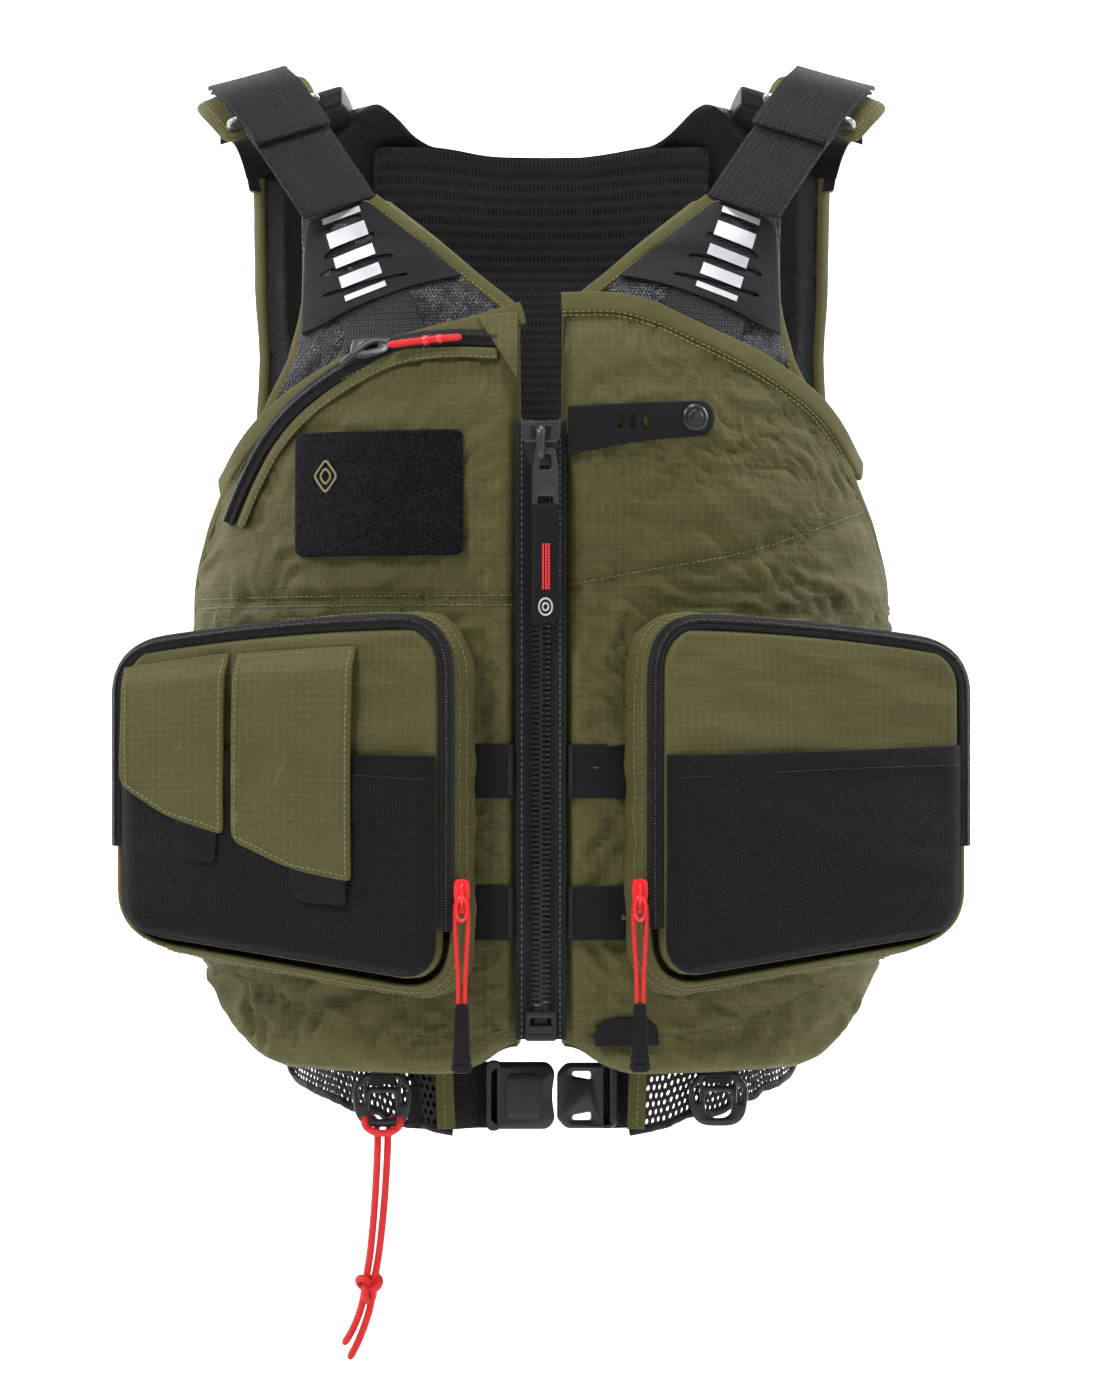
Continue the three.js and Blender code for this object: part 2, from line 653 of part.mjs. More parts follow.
// ---- small fittings on the front ---------------------------------------------------------------
function addLashTab(name, side, low, first) {
  const start = panelEdge + 1;
  const end = onPanel(footprint(first), pocketHeight / 2, 0).x - curvedGap;
  const place = (lift) => (r, c) => {
    const z = low + tabHeight * r;
    return onFront(turnAt(mix(start, end, c), z), z, -lift);
  };
  addPiece(name, solid(1, 4, place(sewnGap + tabThickness), place(sewnGap)), rubber, side);
}

function addSnapStrap() {
  const place = (lift) => (r, c) => {
    const half = mix(14, 9, smooth(c, 0, 1)) - (c > 0.95 ? 3 : 0);
    const z = mix(-208, -201, c) + mix(-half, half, r);
    return onFront(turnAt(mix(18, 95, c), z), z, -lift - 2 * c);
  };
  addPiece('snap_strap', solid(2, 8, place(curvedGap + 2.6), place(curvedGap)), rubber);
}

// A lash ring hangs from a webbing loop under the front hem and swings about its top bar.
const ringAxis = vestBottom - 4;
const ringX = { right: 90, left: 101 };
const ringBar = 3.5;
const ringThickness = 4.6;
const ringHeight = 31;
const ringWebInner = 3.3;
const ringWebOuter = 5.3;

function ringDepth(x) {
  const halfWidth = frontHalfWidth(vestBottom) - frontThickness;
  return -(frontDepth - frontThickness) * Math.sqrt(1 - (x / halfWidth) ** 2) - ringWebOuter - 1;
}

function addRing(side, sideName) {
  const x = ringX[sideName];
  const y = ringDepth(x);
  const top = ringAxis + ringBar / 2;
  const half = 18;
  const low = top - ringHeight;
  const slotLow = top - ringBar - 4.8;
  const outline = roundedShape([
    [x - half, top - 9, 6], [x - 10, top, 3], [x + 10, top, 3], [x + half, top - 9, 6],
    [x + half - 3, low, 12], [x - half + 3, low, 12],
  ], [
    [[x - 8.5, top - ringBar, 1], [x + 8.5, top - ringBar, 1], [x + 8.5, slotLow, 1], [x - 8.5, slotLow, 1]],
    [[x - 9, slotLow - 3.4, 3], [x + 9, slotLow - 3.4, 3], [x + 8, low + 4, 6], [x - 8, low + 4, 6]],
  ]);
  addPiece(`lash_ring_${sideName}`, plate(outline, y - ringThickness / 2, y + ringThickness / 2),
    blackPlastic, side);
  const webTop = vestBottom - sewnGap - ringAxis;
  const curve = [0, 30, 60, 90, 120, 150, 180].map(radians);
  const section = new THREE.Shape([
    new THREE.Vector2(-ringWebOuter, webTop),
    ...curve.map((a) => new THREE.Vector2(-ringWebOuter * Math.cos(a), -ringWebOuter * Math.sin(a))),
    new THREE.Vector2(ringWebOuter, webTop),
    new THREE.Vector2(ringWebInner, webTop),
    ...curve.map((a) => new THREE.Vector2(ringWebInner * Math.cos(a), -ringWebInner * Math.sin(a))),
    new THREE.Vector2(-ringWebInner, webTop),
  ]);
  const web = new THREE.ExtrudeGeometry(section, { depth: 14, bevelEnabled: false });
  web.rotateX(Math.PI / 2);
  web.rotateZ(Math.PI / 2);
  web.translate(x - 7, y, ringAxis);
  addPiece(`ring_web_${sideName}`, web, webbing, side);
}

// ---- waist belt --------------------------------------------------------------------------------
const wingEnd = 52;
const wingTop = -486;

function wingInset(turn) {
  return mix(frontThickness + 3, frontThickness + curvedGap, smooth(turn, radians(55), radians(76)));
}

function addWing(side, sideName) {
  const place = (extra) => (r, c) => {
    const z0 = -560;
    const first = Math.asin(wingEnd / (frontHalfWidth(z0) - frontThickness - 3));
    const turn = mix(first, radians(sideSeam), c);
    const low = mix(-593, -532, smooth(turn, first - 0.35, radians(90)));
    const z = mix(wingTop, low, r);
    return onFront(turn, z, wingInset(turn) + extra);
  };
  addPiece(`waist_wing_${sideName}`, solid(4, 9, place(0), place(2.4)), mesh, side);
}

const buckleMiddle = -584;
const buckleFront = -98;
const buckleDepth = 12;

function addBuckle() {
  const half = beltWidth / 2;
  const socket = roundedShape([
    [-31, buckleMiddle - half, 4], [8, buckleMiddle - half, 4],
    [8, buckleMiddle + half, 4], [-31, buckleMiddle + half, 4],
  ]);
  addPiece('buckle_socket', plate(socket, buckleFront, buckleFront + buckleDepth), blackPlastic);
  const plug = roundedShape([
    [8 + runningGap, buckleMiddle - half + 1, 3], [44, buckleMiddle - half + 1, 4],
    [44, buckleMiddle + half - 1, 4], [8 + runningGap, buckleMiddle + half - 1, 3],
  ]);
  addPiece('buckle_plug', plate(plug, buckleFront + 1, buckleFront + buckleDepth - 1), blackPlastic);
  const beltBack = buckleFront + buckleDepth - 1;
  const beltEnd = 72;
  const rightBelt = (shift) => (r, c) => {
    const x = mix(31 + sewnGap, beltEnd, c);
    const z = buckleMiddle + mix(-half, half, r);
    const wing = frontAtX(x, z, frontThickness + 3 + 2.4 + curvedGap);
    const lap = smooth(x, 34, 58);
    return point(x, mix(beltBack - beltThickness, wing.y, lap) + shift, z);
  };
  addPiece('waist_web_right', solid(1, 6, rightBelt(0), rightBelt(beltThickness)), webbing, -1);
  const leftBelt = roundedShape([
    [44 + sewnGap, buckleMiddle - half, 0], [62, buckleMiddle - half, 0],
    [62, buckleMiddle + half, 0], [44 + sewnGap, buckleMiddle + half, 0],
  ]);
  addPiece('waist_web_left', plate(leftBelt, beltBack - beltThickness, beltBack), webbing);
}

// ---- back --------------------------------------------------------------------------------------
const backTop = -44;
const backTurn = profile([
  [backBottom, 82], [-280, 76], [-240, 63], [-199, 53], [-151, 54.5], [-112, 56], [backTop, 58],
]);
const backRows = [-44, -64, -90, -120, -160, -200, -240, -285, backBottom];

function backPanel(inset, margin) {
  return (r, c) => {
    const row = r * (backRows.length - 1);
    const low = Math.min(Math.floor(row), backRows.length - 2);
    const nominal = mix(backRows[low], backRows[low + 1], row - low);
    const level = THREE.MathUtils.clamp(nominal, backBottom + margin, backTop - margin);
    const edge = radians(backTurn(level)) - margin / backHalfWidth;
    return onBack(mix(-edge, edge, c), level, inset);
  };
}

function addBack() {
  const rows = backRows.length - 1;
  const columns = 14;
  const inset = coverWall + foamGap;
  const margin = coverWall + 2 * borderGap;
  addPiece('back_cover', solid(rows, columns,
    backPanel(0, 0), backPanel(coverWall, coverWall),
    [backPanel(backThickness, 0), backPanel(backThickness, coverWall)]), olive);
  addPiece('back_foam', solid(rows, columns,
    backPanel(inset, margin), backPanel(backThickness - foamGap, margin)), foam);
  const meshRows = [...backRows, -400, -480, -556];
  const place = (inset) => (r, c) => {
    const z = meshRows[Math.round(r * (meshRows.length - 1))];
    const edge = z < backBottom ? sideSeam : backTurn(z);
    const turn = radians(edge) * mix(-1, 1, c);
    return onBack(turn, z, inset);
  };
  addPiece('back_mesh', solid(meshRows.length - 1, columns,
    place(backThickness + curvedGap), place(backThickness + curvedGap + 2.2)), mesh);
}

// A padded yoke goes from the top of the back over the shoulder.
function addShoulderPad(side, sideName) {
  const thickness = 12;
  const innerEdge = (r) => mix(110, 119, r);
  const outerEdge = (r) => mix(172, 191, r);
  const place = (sink) => (r, c) => {
    const x = mix(innerEdge(r), outerEdge(r), c);
    const angle = radians(mix(-8, 96, r));
    const foot = onBack(Math.asin(x / backHalfWidth), backTop + sewnGap, 0);
    const reach = foot.y - 4;
    const drop = mix(0, 24, c) * r;
    const y = foot.y - sink - (reach - sink) * (1 - Math.cos(angle * 0.92));
    const rise = (-backTop + 7 - sink) * Math.sin(angle * 0.92);
    return point(x, y, backTop + sewnGap + Math.max(0, rise) - drop * Math.min(1, r * 1.2));
  };
  addPiece(`shoulder_pad_${sideName}`, solid(6, 3, place(0), place(thickness)), olive, side);
}

// ---- lanyard -----------------------------------------------------------------------------------
const lanyardLegs = {
  lanyard_leg_a: [
    [-92.8, -98, -602], [-92.9, -98.4, -612], [-93.4, -98.8, -625], [-94.2, -99, -640],
    [-95.4, -99, -656], [-97, -98.6, -672], [-98.8, -98.2, -684], [-100.1, -98, -692],
    [-101.3, -98, -700], [-103.6, -98, -708], [-107.4, -98, -717], [-112.2, -98, -725],
  ],
  lanyard_leg_b: [
    [-87, -98, -602], [-87.2, -98, -612], [-87.8, -97.8, -625], [-88.8, -97.6, -640],
    [-90.2, -97.6, -656], [-92, -97.8, -672], [-94, -98, -684], [-95.3, -98, -692],
    [-96.4, -98, -700], [-98.6, -98, -709], [-103.4, -98.4, -722], [-109, -99, -733],
  ],
};

function addLanyard() {
  for (const [name, route] of Object.entries(lanyardLegs)) {
    addPiece(name, tube(route, cordDiameter, 8, 20), redCord);
  }
  const bore = 5.2;
  const wall = 4;
  const half = 8;
  const section = [
    [bore, -half], [bore + wall - 1, -half], [bore + wall, 0],
    [bore + wall - 1, half], [bore, half], [bore, -half],
  ].map(([x, y]) => new THREE.Vector2(x, y));
  const knot = new THREE.LatheGeometry(section, 12);
  knot.rotateX(Math.PI / 2);
  knot.rotateY(radians(7));
  knot.translate(-97.7, -98, -692);
  addPiece('lanyard_knot', knot, redCord);
}

// ---- assembly ----------------------------------------------------------------------------------
const pocketFirst = { right: 3, left: 15 };
for (const [sideName, side] of [['right', -1], ['left', 1]]) {
  addFrontPanel(side, sideName);
  addShoulderStrap(side, sideName);
  addStrapLoop(side, sideName);
  addRubberYoke(side, sideName);
  addZipHalf(side, sideName);
  addPocketTub(side, sideName, pocketFirst[sideName]);
  addPocketZip(side, sideName, pocketFirst[sideName]);
  addPocketDoor(side, sideName, pocketFirst[sideName]);
  addPocketSlider(side, sideName, pocketFirst[sideName]);
  addLashTab(`lash_tab_upper_${sideName}`, side, -413, pocketFirst[sideName]);
  addLashTab(`lash_tab_lower_${sideName}`, side, -492, pocketFirst[sideName]);
  addRing(side, sideName);
  addWing(side, sideName);
  addShoulderPad(side, sideName);
}
addMainSlider();
addMainPull();
addFlap('tool_flap_outer', 135, 201, 128, 100);
addFlap('tool_flap_inner', 57, 130, 149, 133);
addChestZip();
addChestSlider();
addLoopPatch();
addSnapStrap();
addBuckle();
addBack();
addLanyard();

export default vest;
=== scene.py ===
"""Fishing vest: padded panels, zips, pockets, webbing, fittings and cords round its frame."""
import math

import bmesh
import bpy
import numpy as np
from bpy.props import FloatProperty, FloatVectorProperty, PointerProperty
from bpy.types import Operator, Panel, PropertyGroup
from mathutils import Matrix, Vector, noise


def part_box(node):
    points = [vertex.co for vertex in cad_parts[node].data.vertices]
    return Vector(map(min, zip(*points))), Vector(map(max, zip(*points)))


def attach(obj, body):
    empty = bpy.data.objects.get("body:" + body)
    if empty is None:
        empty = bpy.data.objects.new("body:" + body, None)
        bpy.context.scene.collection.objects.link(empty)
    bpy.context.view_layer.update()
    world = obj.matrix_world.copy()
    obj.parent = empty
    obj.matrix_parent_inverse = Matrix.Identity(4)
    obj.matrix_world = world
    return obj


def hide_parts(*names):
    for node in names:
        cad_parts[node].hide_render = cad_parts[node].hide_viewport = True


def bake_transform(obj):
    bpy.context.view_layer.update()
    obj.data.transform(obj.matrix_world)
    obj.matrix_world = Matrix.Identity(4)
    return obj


bl_info = {
    "name": "Fishing vest",
    "version": (1, 0, 0),
    "blender": (4, 5, 0),
    "location": "3D View > Sidebar > Vest",
    "description": "Builds a buoyant fishing vest round its packed frame",
    "category": "Object",
}

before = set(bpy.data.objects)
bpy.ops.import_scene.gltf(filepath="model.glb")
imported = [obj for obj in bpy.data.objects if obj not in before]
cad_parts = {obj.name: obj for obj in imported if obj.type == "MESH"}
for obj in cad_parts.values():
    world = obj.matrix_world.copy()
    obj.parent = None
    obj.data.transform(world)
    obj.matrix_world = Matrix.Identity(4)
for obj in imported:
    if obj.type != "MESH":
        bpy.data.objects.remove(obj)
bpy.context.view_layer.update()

MM = 0.001                # shapes are laid out in millimetres and stored in metres
SIDES = (("right", -1.0), ("left", 1.0))

# ---- the torso, as in the frame -----------------------------------------------------------------
HIP, CHEST = 208.0, 184.0            # outside half widths at the pockets and at the armholes
FRONT_DEPTH, BACK_DEPTH = 150.0, 130.0
BACK_HALF = 205.0
FRONT_TOP, NECK_BOTTOM, HEM = -70.0, -138.0, -568.0
FRONT_THICK, BACK_THICK = 38.0, 26.0
PANEL_EDGE, NECK_SLOPE = 14.0, 1.19
BACK_TOP, BACK_BOTTOM = -44.0, -332.0
ZIP_TOP, ZIP_BOTTOM, ZIP_FACE = -206.0, -547.0, -153.5
STEP = FRONT_THICK - BACK_THICK


def mix(a, b, t):
    return a + (b - a) * t


def smooth(value, low, high):
    t = np.clip((np.asarray(value, float) - low) / (high - low), 0, 1)
    return t * t * (3 - 2 * t)


def profile(*pairs):
    """A smooth value read from [height, value] pairs, lowest height first."""
    heights, values = (np.array(column, float) for column in zip(*pairs))

    def read(z):
        z = np.clip(np.asarray(z, float), heights[0], heights[-1])
        upper = np.clip(np.searchsorted(heights, z), 1, len(heights) - 1)
        t = (z - heights[upper - 1]) / (heights[upper] - heights[upper - 1])
        return mix(values[upper - 1], values[upper], 0.35 * t * t * (3 - 2 * t) + 0.65 * t)
    return read


front_half = profile((-610, HIP - 16), (-520, HIP - 7), (-420, HIP), (-300, HIP - 1),
                     (-240, mix(CHEST, HIP, 0.7)), (-190, mix(CHEST, HIP, 0.33)), (-140, CHEST),
                     (-60, CHEST - 7), (10, CHEST - 11))
front_face = profile((-200, FRONT_DEPTH), (-165, FRONT_DEPTH - 7), (-140, FRONT_DEPTH - 20),
                     (-100, FRONT_DEPTH - 46), (-60, FRONT_DEPTH - 80), (-20, FRONT_DEPTH - 118))
panel_thick = profile((-210, FRONT_THICK), (-130, mix(14, FRONT_THICK, 0.55)), (FRONT_TOP, 14))
back_half = profile((-610, HIP - 16 - STEP), (-520, HIP - 7 - STEP), (-420, HIP - STEP),
                    (BACK_BOTTOM, HIP - STEP), (-200, BACK_HALF), (0, BACK_HALF))
back_face = profile((-610, BACK_DEPTH - 10), (-560, BACK_DEPTH - 8), (BACK_BOTTOM, BACK_DEPTH - 4),
                    (-200, BACK_DEPTH), (-100, BACK_DEPTH - 8), (-40, BACK_DEPTH - 34),
                    (0, BACK_DEPTH - 72))
armhole_turn = profile((-290, 84), (-265, 77), (-235, 68), (-200, 58), (-165, 51.5), (-130, 49.5),
                       (FRONT_TOP, 52))
back_turn = profile((BACK_BOTTOM, 82), (-280, 78), (-240, 69), (-199, 60), (-151, 59), (-112, 60),
                    (BACK_TOP, 60))


def on_front(turn, z, out=0.0):
    """Points on the front of the torso; turn is the angle from the middle, out the lift."""
    return np.stack(np.broadcast_arrays((front_half(z) + out) * np.sin(turn),
                                        -(front_face(z) + out) * np.cos(turn), z), -1)


def on_back(turn, z, out=0.0):
    return np.stack(np.broadcast_arrays((back_half(z) + out) * np.sin(turn),
                                        (back_face(z) + out) * np.cos(turn), z), -1)


def turn_at(x, z, out=0.0):
    return np.arcsin(np.clip(np.asarray(x, float) / (front_half(z) + out), -0.9999, 0.9999))


def front_at(x, z, out=0.0):
    return on_front(turn_at(x, z, out), np.asarray(z, float), out)


# ---- mesh making --------------------------------------------------------------------------------
def run_along(points):
    """How far along a path each of its points lies."""
    return np.concatenate([[0], np.cumsum(np.linalg.norm(np.diff(points, axis=0), axis=1))])


def resample(points, spacing, curved=True):
    """A path through the points at an even spacing, curved between them."""
    points = np.asarray(points, float)
    if curved and len(points) > 2:
        ends = np.vstack([2 * points[0] - points[1], points, 2 * points[-1] - points[-2]])
        t = np.linspace(0, 1, 12, endpoint=False)[:, None]
        runs = []
        for a, b, c, d in zip(ends, ends[1:], ends[2:], ends[3:]):
            runs.append(0.5 * (2 * b + (c - a) * t + (2 * a - 5 * b + 4 * c - d) * t ** 2
                               + (3 * b - a - 3 * c + d) * t ** 3))
        points = np.vstack([*runs, points[-1:]])
    run = run_along(points)
    count = max(2, int(round(run[-1] / spacing)) + 1)
    at = np.linspace(0, run[-1], count)
    return np.stack([np.interp(at, run, points[:, k]) for k in range(points.shape[1])], -1)


def unit(vectors):
    vectors = np.asarray(vectors, float)
    return vectors / np.maximum(np.linalg.norm(vectors, axis=-1, keepdims=True), 1e-9)


def front_normals(points):
    """Outward directions of the torso front at points on it."""
    x, z = points[:, 0], points[:, 2]
    across = front_at(x + 0.5, z) - front_at(x - 0.5, z)
    up = front_at(x, z + 0.5) - front_at(x, z - 0.5)
    return unit(np.cross(across, up))


def along_front(path, out=0.0):
    """Points on the front along a path of (x, z) pairs, with their outward directions."""
    points = front_at(path[:, 0], path[:, 1], out)
    return points, front_normals(points)


class Cutting:
    """Gathers the faces of one piece, in millimetres, with cloth coordinates in metres."""

    def __init__(self):
        self.points, self.faces, self.cloth, self.slots, self.count = [], [], [], [], 0

    def add(self, points, faces, cloth=None, slot=0):
        points = np.asarray(points, float).reshape(-1, 3)
        faces = np.asarray(faces, int)
        if cloth is None:
            cloth = np.stack([points[:, 0] + points[:, 1], points[:, 2]], -1)[faces] * MM
        self.points.append(points)
        self.faces.append(faces + self.count)
        self.cloth.append(np.asarray(cloth, float).reshape(-1, 2))
        self.slots.append(np.broadcast_to(slot, len(faces)))
        self.count += len(points)
        return self

    def piece(self, name, *finishes, sharp=None):
        points = np.vstack(self.points) * MM
        mesh = bpy.data.meshes.new(name)
        faces = [face for block in self.faces for face in block.tolist()]
        mesh.from_pydata(points.tolist(), [], faces)
        mesh.uv_layers.new(name="cloth").data.foreach_set("uv", np.vstack(self.cloth).ravel())
        mesh.polygons.foreach_set("material_index", np.concatenate(self.slots).astype(np.int32))
        return finished(name, mesh, finishes, sharp)


def finished(name, mesh, finishes, sharp=None):
    """Links a mesh as a smooth piece with its materials, its faces turned out."""
    for finish in finishes:
        mesh.materials.append(finish)
    work = bmesh.new()
    work.from_mesh(mesh)
    bmesh.ops.recalc_face_normals(work, faces=work.faces)
    work.to_mesh(mesh)
    work.free()
    mesh.polygons.foreach_set("use_smooth", [True] * len(mesh.polygons))
    if sharp:
        mesh.set_sharp_from_angle(angle=math.radians(sharp))
    piece = bpy.data.objects.new(name, mesh)
    bpy.context.scene.collection.objects.link(piece)
    return piece


def grid_faces(rows, columns, start=0):
    ids = start + np.arange((rows + 1) * (columns + 1)).reshape(rows + 1, columns + 1)
    return np.stack([ids[:-1, :-1], ids[:-1, 1:], ids[1:, 1:], ids[1:, :-1]], -1).reshape(-1, 4)


def tube_faces(rings, sides):
    """Point numbers of stacked closed rings, and the faces from each ring to the next."""
    ids = np.arange(rings * sides).reshape(rings, sides)
    after = np.roll(ids, -1, 1)
    return ids, np.stack([ids[:-1], after[:-1], after[1:], ids[1:]], -1).reshape(-1, 4)


def repeated(faces, points_each, count):
    """The faces of one small form, numbered again for each of its copies."""
    return (faces[None] + points_each * np.arange(count)[:, None, None]).reshape(-1, 4)


def rim_ids(rows, columns):
    ids = np.arange((rows + 1) * (columns + 1)).reshape(rows + 1, columns + 1)
    return np.concatenate([ids[0, :-1], ids[:-1, -1], ids[-1, :0:-1], ids[:0:-1, 0]])


def stuffed(rows, columns, outer, inner, rings=(), spread=None, inner_slot=1, zone=None,
            wall_slot=0):
    """A closed form between two sheets, each a function of the row and column fractions."""
    r, c = np.meshgrid(np.linspace(0, 1, rows + 1), np.linspace(0, 1, columns + 1), indexing="ij")
    r, c = r.ravel(), c.ravel()
    front, behind = outer(r, c), inner(r, c)
    cloth = spread(r, c) if spread else np.stack([front[:, 0], front[:, 2]], -1)
    rim = rim_ids(rows, columns)
    faces = grid_faces(rows, columns)
    middle = front[faces].mean(1)
    slots = zone(middle) if zone else np.zeros(len(faces), int)
    blocks = [front, behind] + [ring(r[rim], c[rim]) for ring in rings]
    total = len(front)
    loops = [rim] + [2 * total + k * len(rim) + np.arange(len(rim)) for k in range(len(rings))]
    loops.append(rim + total)
    side = np.stack([np.select([c[rim] >= 1, c[rim] <= 0], [1, -1], 0),
                     np.select([r[rim] >= 1, r[rim] <= 0], [-1, 1], 0)], -1)
    walls, wall_cloth, reach = [], [], 0.0
    places = np.vstack(blocks)
    for near, far in zip(loops, loops[1:]):
        gap = np.linalg.norm(places[near] - places[far], axis=1).mean()
        next_ids = np.roll(np.arange(len(rim)), -1)
        walls.append(np.stack([near, near[next_ids], far[next_ids], far], -1))
        here, there = cloth[rim] + side * reach, cloth[rim] + side * (reach + gap)
        wall_cloth.append(np.stack([here, here[next_ids], there[next_ids], there], 1))
        reach += gap
    made = Cutting()
    every = np.vstack([faces, faces[:, ::-1] + total, *walls])
    every_cloth = np.concatenate([cloth[faces], cloth[faces[:, ::-1]], *wall_cloth]) * MM
    every_slots = np.concatenate([slots, np.full(len(faces), inner_slot),
                                  np.full(sum(map(len, walls)), wall_slot)])
    return made.add(places, every, every_cloth, every_slots)


def swept(points, normals, section, into=None, slot=0, taper=None):
    """Sweeps a closed section of (across, out) pairs along a path, with flat ends."""
    points, normals, section = (np.asarray(each, float) for each in (points, normals, section))
    forward = unit(np.gradient(points, axis=0))
    across = unit(np.cross(forward, normals))
    out = unit(np.cross(across, forward))
    size = np.ones(len(points)) if taper is None else np.asarray(taper, float)
    rings = (points[:, None] + (size[:, None] * section[:, 0])[..., None] * across[:, None]
             + (size[:, None] * section[:, 1])[..., None] * out[:, None])
    count, sides = len(points), len(section)
    run = run_along(points)
    lap = run_along(np.vstack([section, section[:1]]))
    ids, faces = tube_faces(count, sides)
    i, j = np.meshgrid(np.arange(count - 1), np.arange(sides), indexing="ij")
    cloth = np.stack([np.stack([run[i], lap[j]], -1), np.stack([run[i], lap[j + 1]], -1),
                      np.stack([run[i + 1], lap[j + 1]], -1), np.stack([run[i + 1], lap[j]], -1)],
                     2)
    made = into or Cutting()
    base = made.count
    made.add(rings.reshape(-1, 3), faces, cloth.reshape(-1, 4, 2) * MM, slot)
    for ring in (ids[0][::-1], ids[-1]):
        made.faces.append(np.array([ring + base]))
        made.cloth.append(section[:: -1 if ring[0] > ring[-1] else 1] * MM)
        made.slots.append(np.array([slot]))
    return made


def oval(width, height, sides=14, power=2.6):
    """A section shaped like a flattened oval."""
    angle = np.arange(sides) / sides * 2 * np.pi
    bend = lambda v: np.sign(v) * np.abs(v) ** (2 / power)
    return np.stack([bend(np.cos(angle)) * width / 2, bend(np.sin(angle)) * height / 2], -1)


def strap_section(width, thickness):
    """A webbing section: flat faces with round selvedges."""
    half, edge = width / 2, thickness / 2
    flats = np.linspace(-half + edge, half - edge, 7)
    top = [(x, edge) for x in flats]
    right = [(half - edge + edge * math.cos(a), edge * math.sin(a)) for a in (0.9, 0, -0.9)]
    left = [(-half + edge - edge * math.cos(a), edge * math.sin(a)) for a in (-0.9, 0, 0.9)]
    return np.array(top + right + [(x, -edge) for x in flats[::-1]] + left)


def stitched(points, normals, into=None, pitch=None, length=2.4, width=0.62, slot=0):
    """A row of thread stitches along a path, at the stitch length unless pitch gives another."""
    points = np.asarray(points, float)
    pitch = pitch or round(bpy.context.scene.vest_sizes.stitch_pitch / MM, 4)
    run = run_along(points)
    middles = np.arange(pitch / 2, run[-1], pitch)
    read = lambda table, at: np.stack([np.interp(at, run, table[:, k]) for k in range(3)], -1)
    centre, out = read(points, middles), unit(read(np.asarray(normals, float), middles))
    forward = unit(read(points, middles + 0.4) - read(points, middles - 0.4))
    across = np.cross(out, forward)
    angle = np.arange(5) / 5 * 2 * np.pi
    along, girth = np.array([-1, -0.6, 0.6, 1]), np.array([0.25, 1, 1, 0.25])
    shape = np.stack([np.repeat(along, 5) * length / 2, np.outer(girth, np.cos(angle)).ravel()
                      * width / 2, np.outer(girth, np.sin(angle)).ravel() * width / 2], -1)
    places = (centre[:, None] + shape[None, :, :1] * forward[:, None] + shape[None, :, 1:2]
              * across[:, None] + (shape[None, :, 2:] + width * 0.2) * out[:, None])
    one = tube_faces(4, 5)[1]
    made = into or Cutting()
    return made.add(places.reshape(-1, 3), repeated(one, 20, len(centre)), None, slot)


def soft_corner(a, here, b, t):
    """A point on the soft corner that leaves the outline at a and joins it again at b."""
    return (1 - t) ** 2 * a + 2 * t * (1 - t) * here + t ** 2 * b


def smooth_loop(corners, radius, steps=5):
    """A closed outline with its corners rounded; each corner may hold its own radius."""
    corners = [tuple(corner) for corner in corners]
    loop = []
    for i, corner in enumerate(corners):
        here = np.array(corner[:2], float)
        size = corner[2] if len(corner) > 2 else radius
        before, after = (np.array(corners[(i + k) % len(corners)][:2], float) - here
                         for k in (-1, 1))
        limit = 0.49 * min(np.linalg.norm(before), np.linalg.norm(after))
        size = min(size, limit)
        a, b = here + unit(before) * size, here + unit(after) * size
        if size < 0.05:
            loop.append(here)
            continue
        loop += [soft_corner(a, here, b, t) for t in np.linspace(0, 1, steps + 1)]
    return np.array(loop)


def box_loop(left, low, right, high, radius, steps=5):
    """A rectangle's outline with round corners."""
    return smooth_loop([(left, low), (right, low), (right, high), (left, high)], radius, steps)


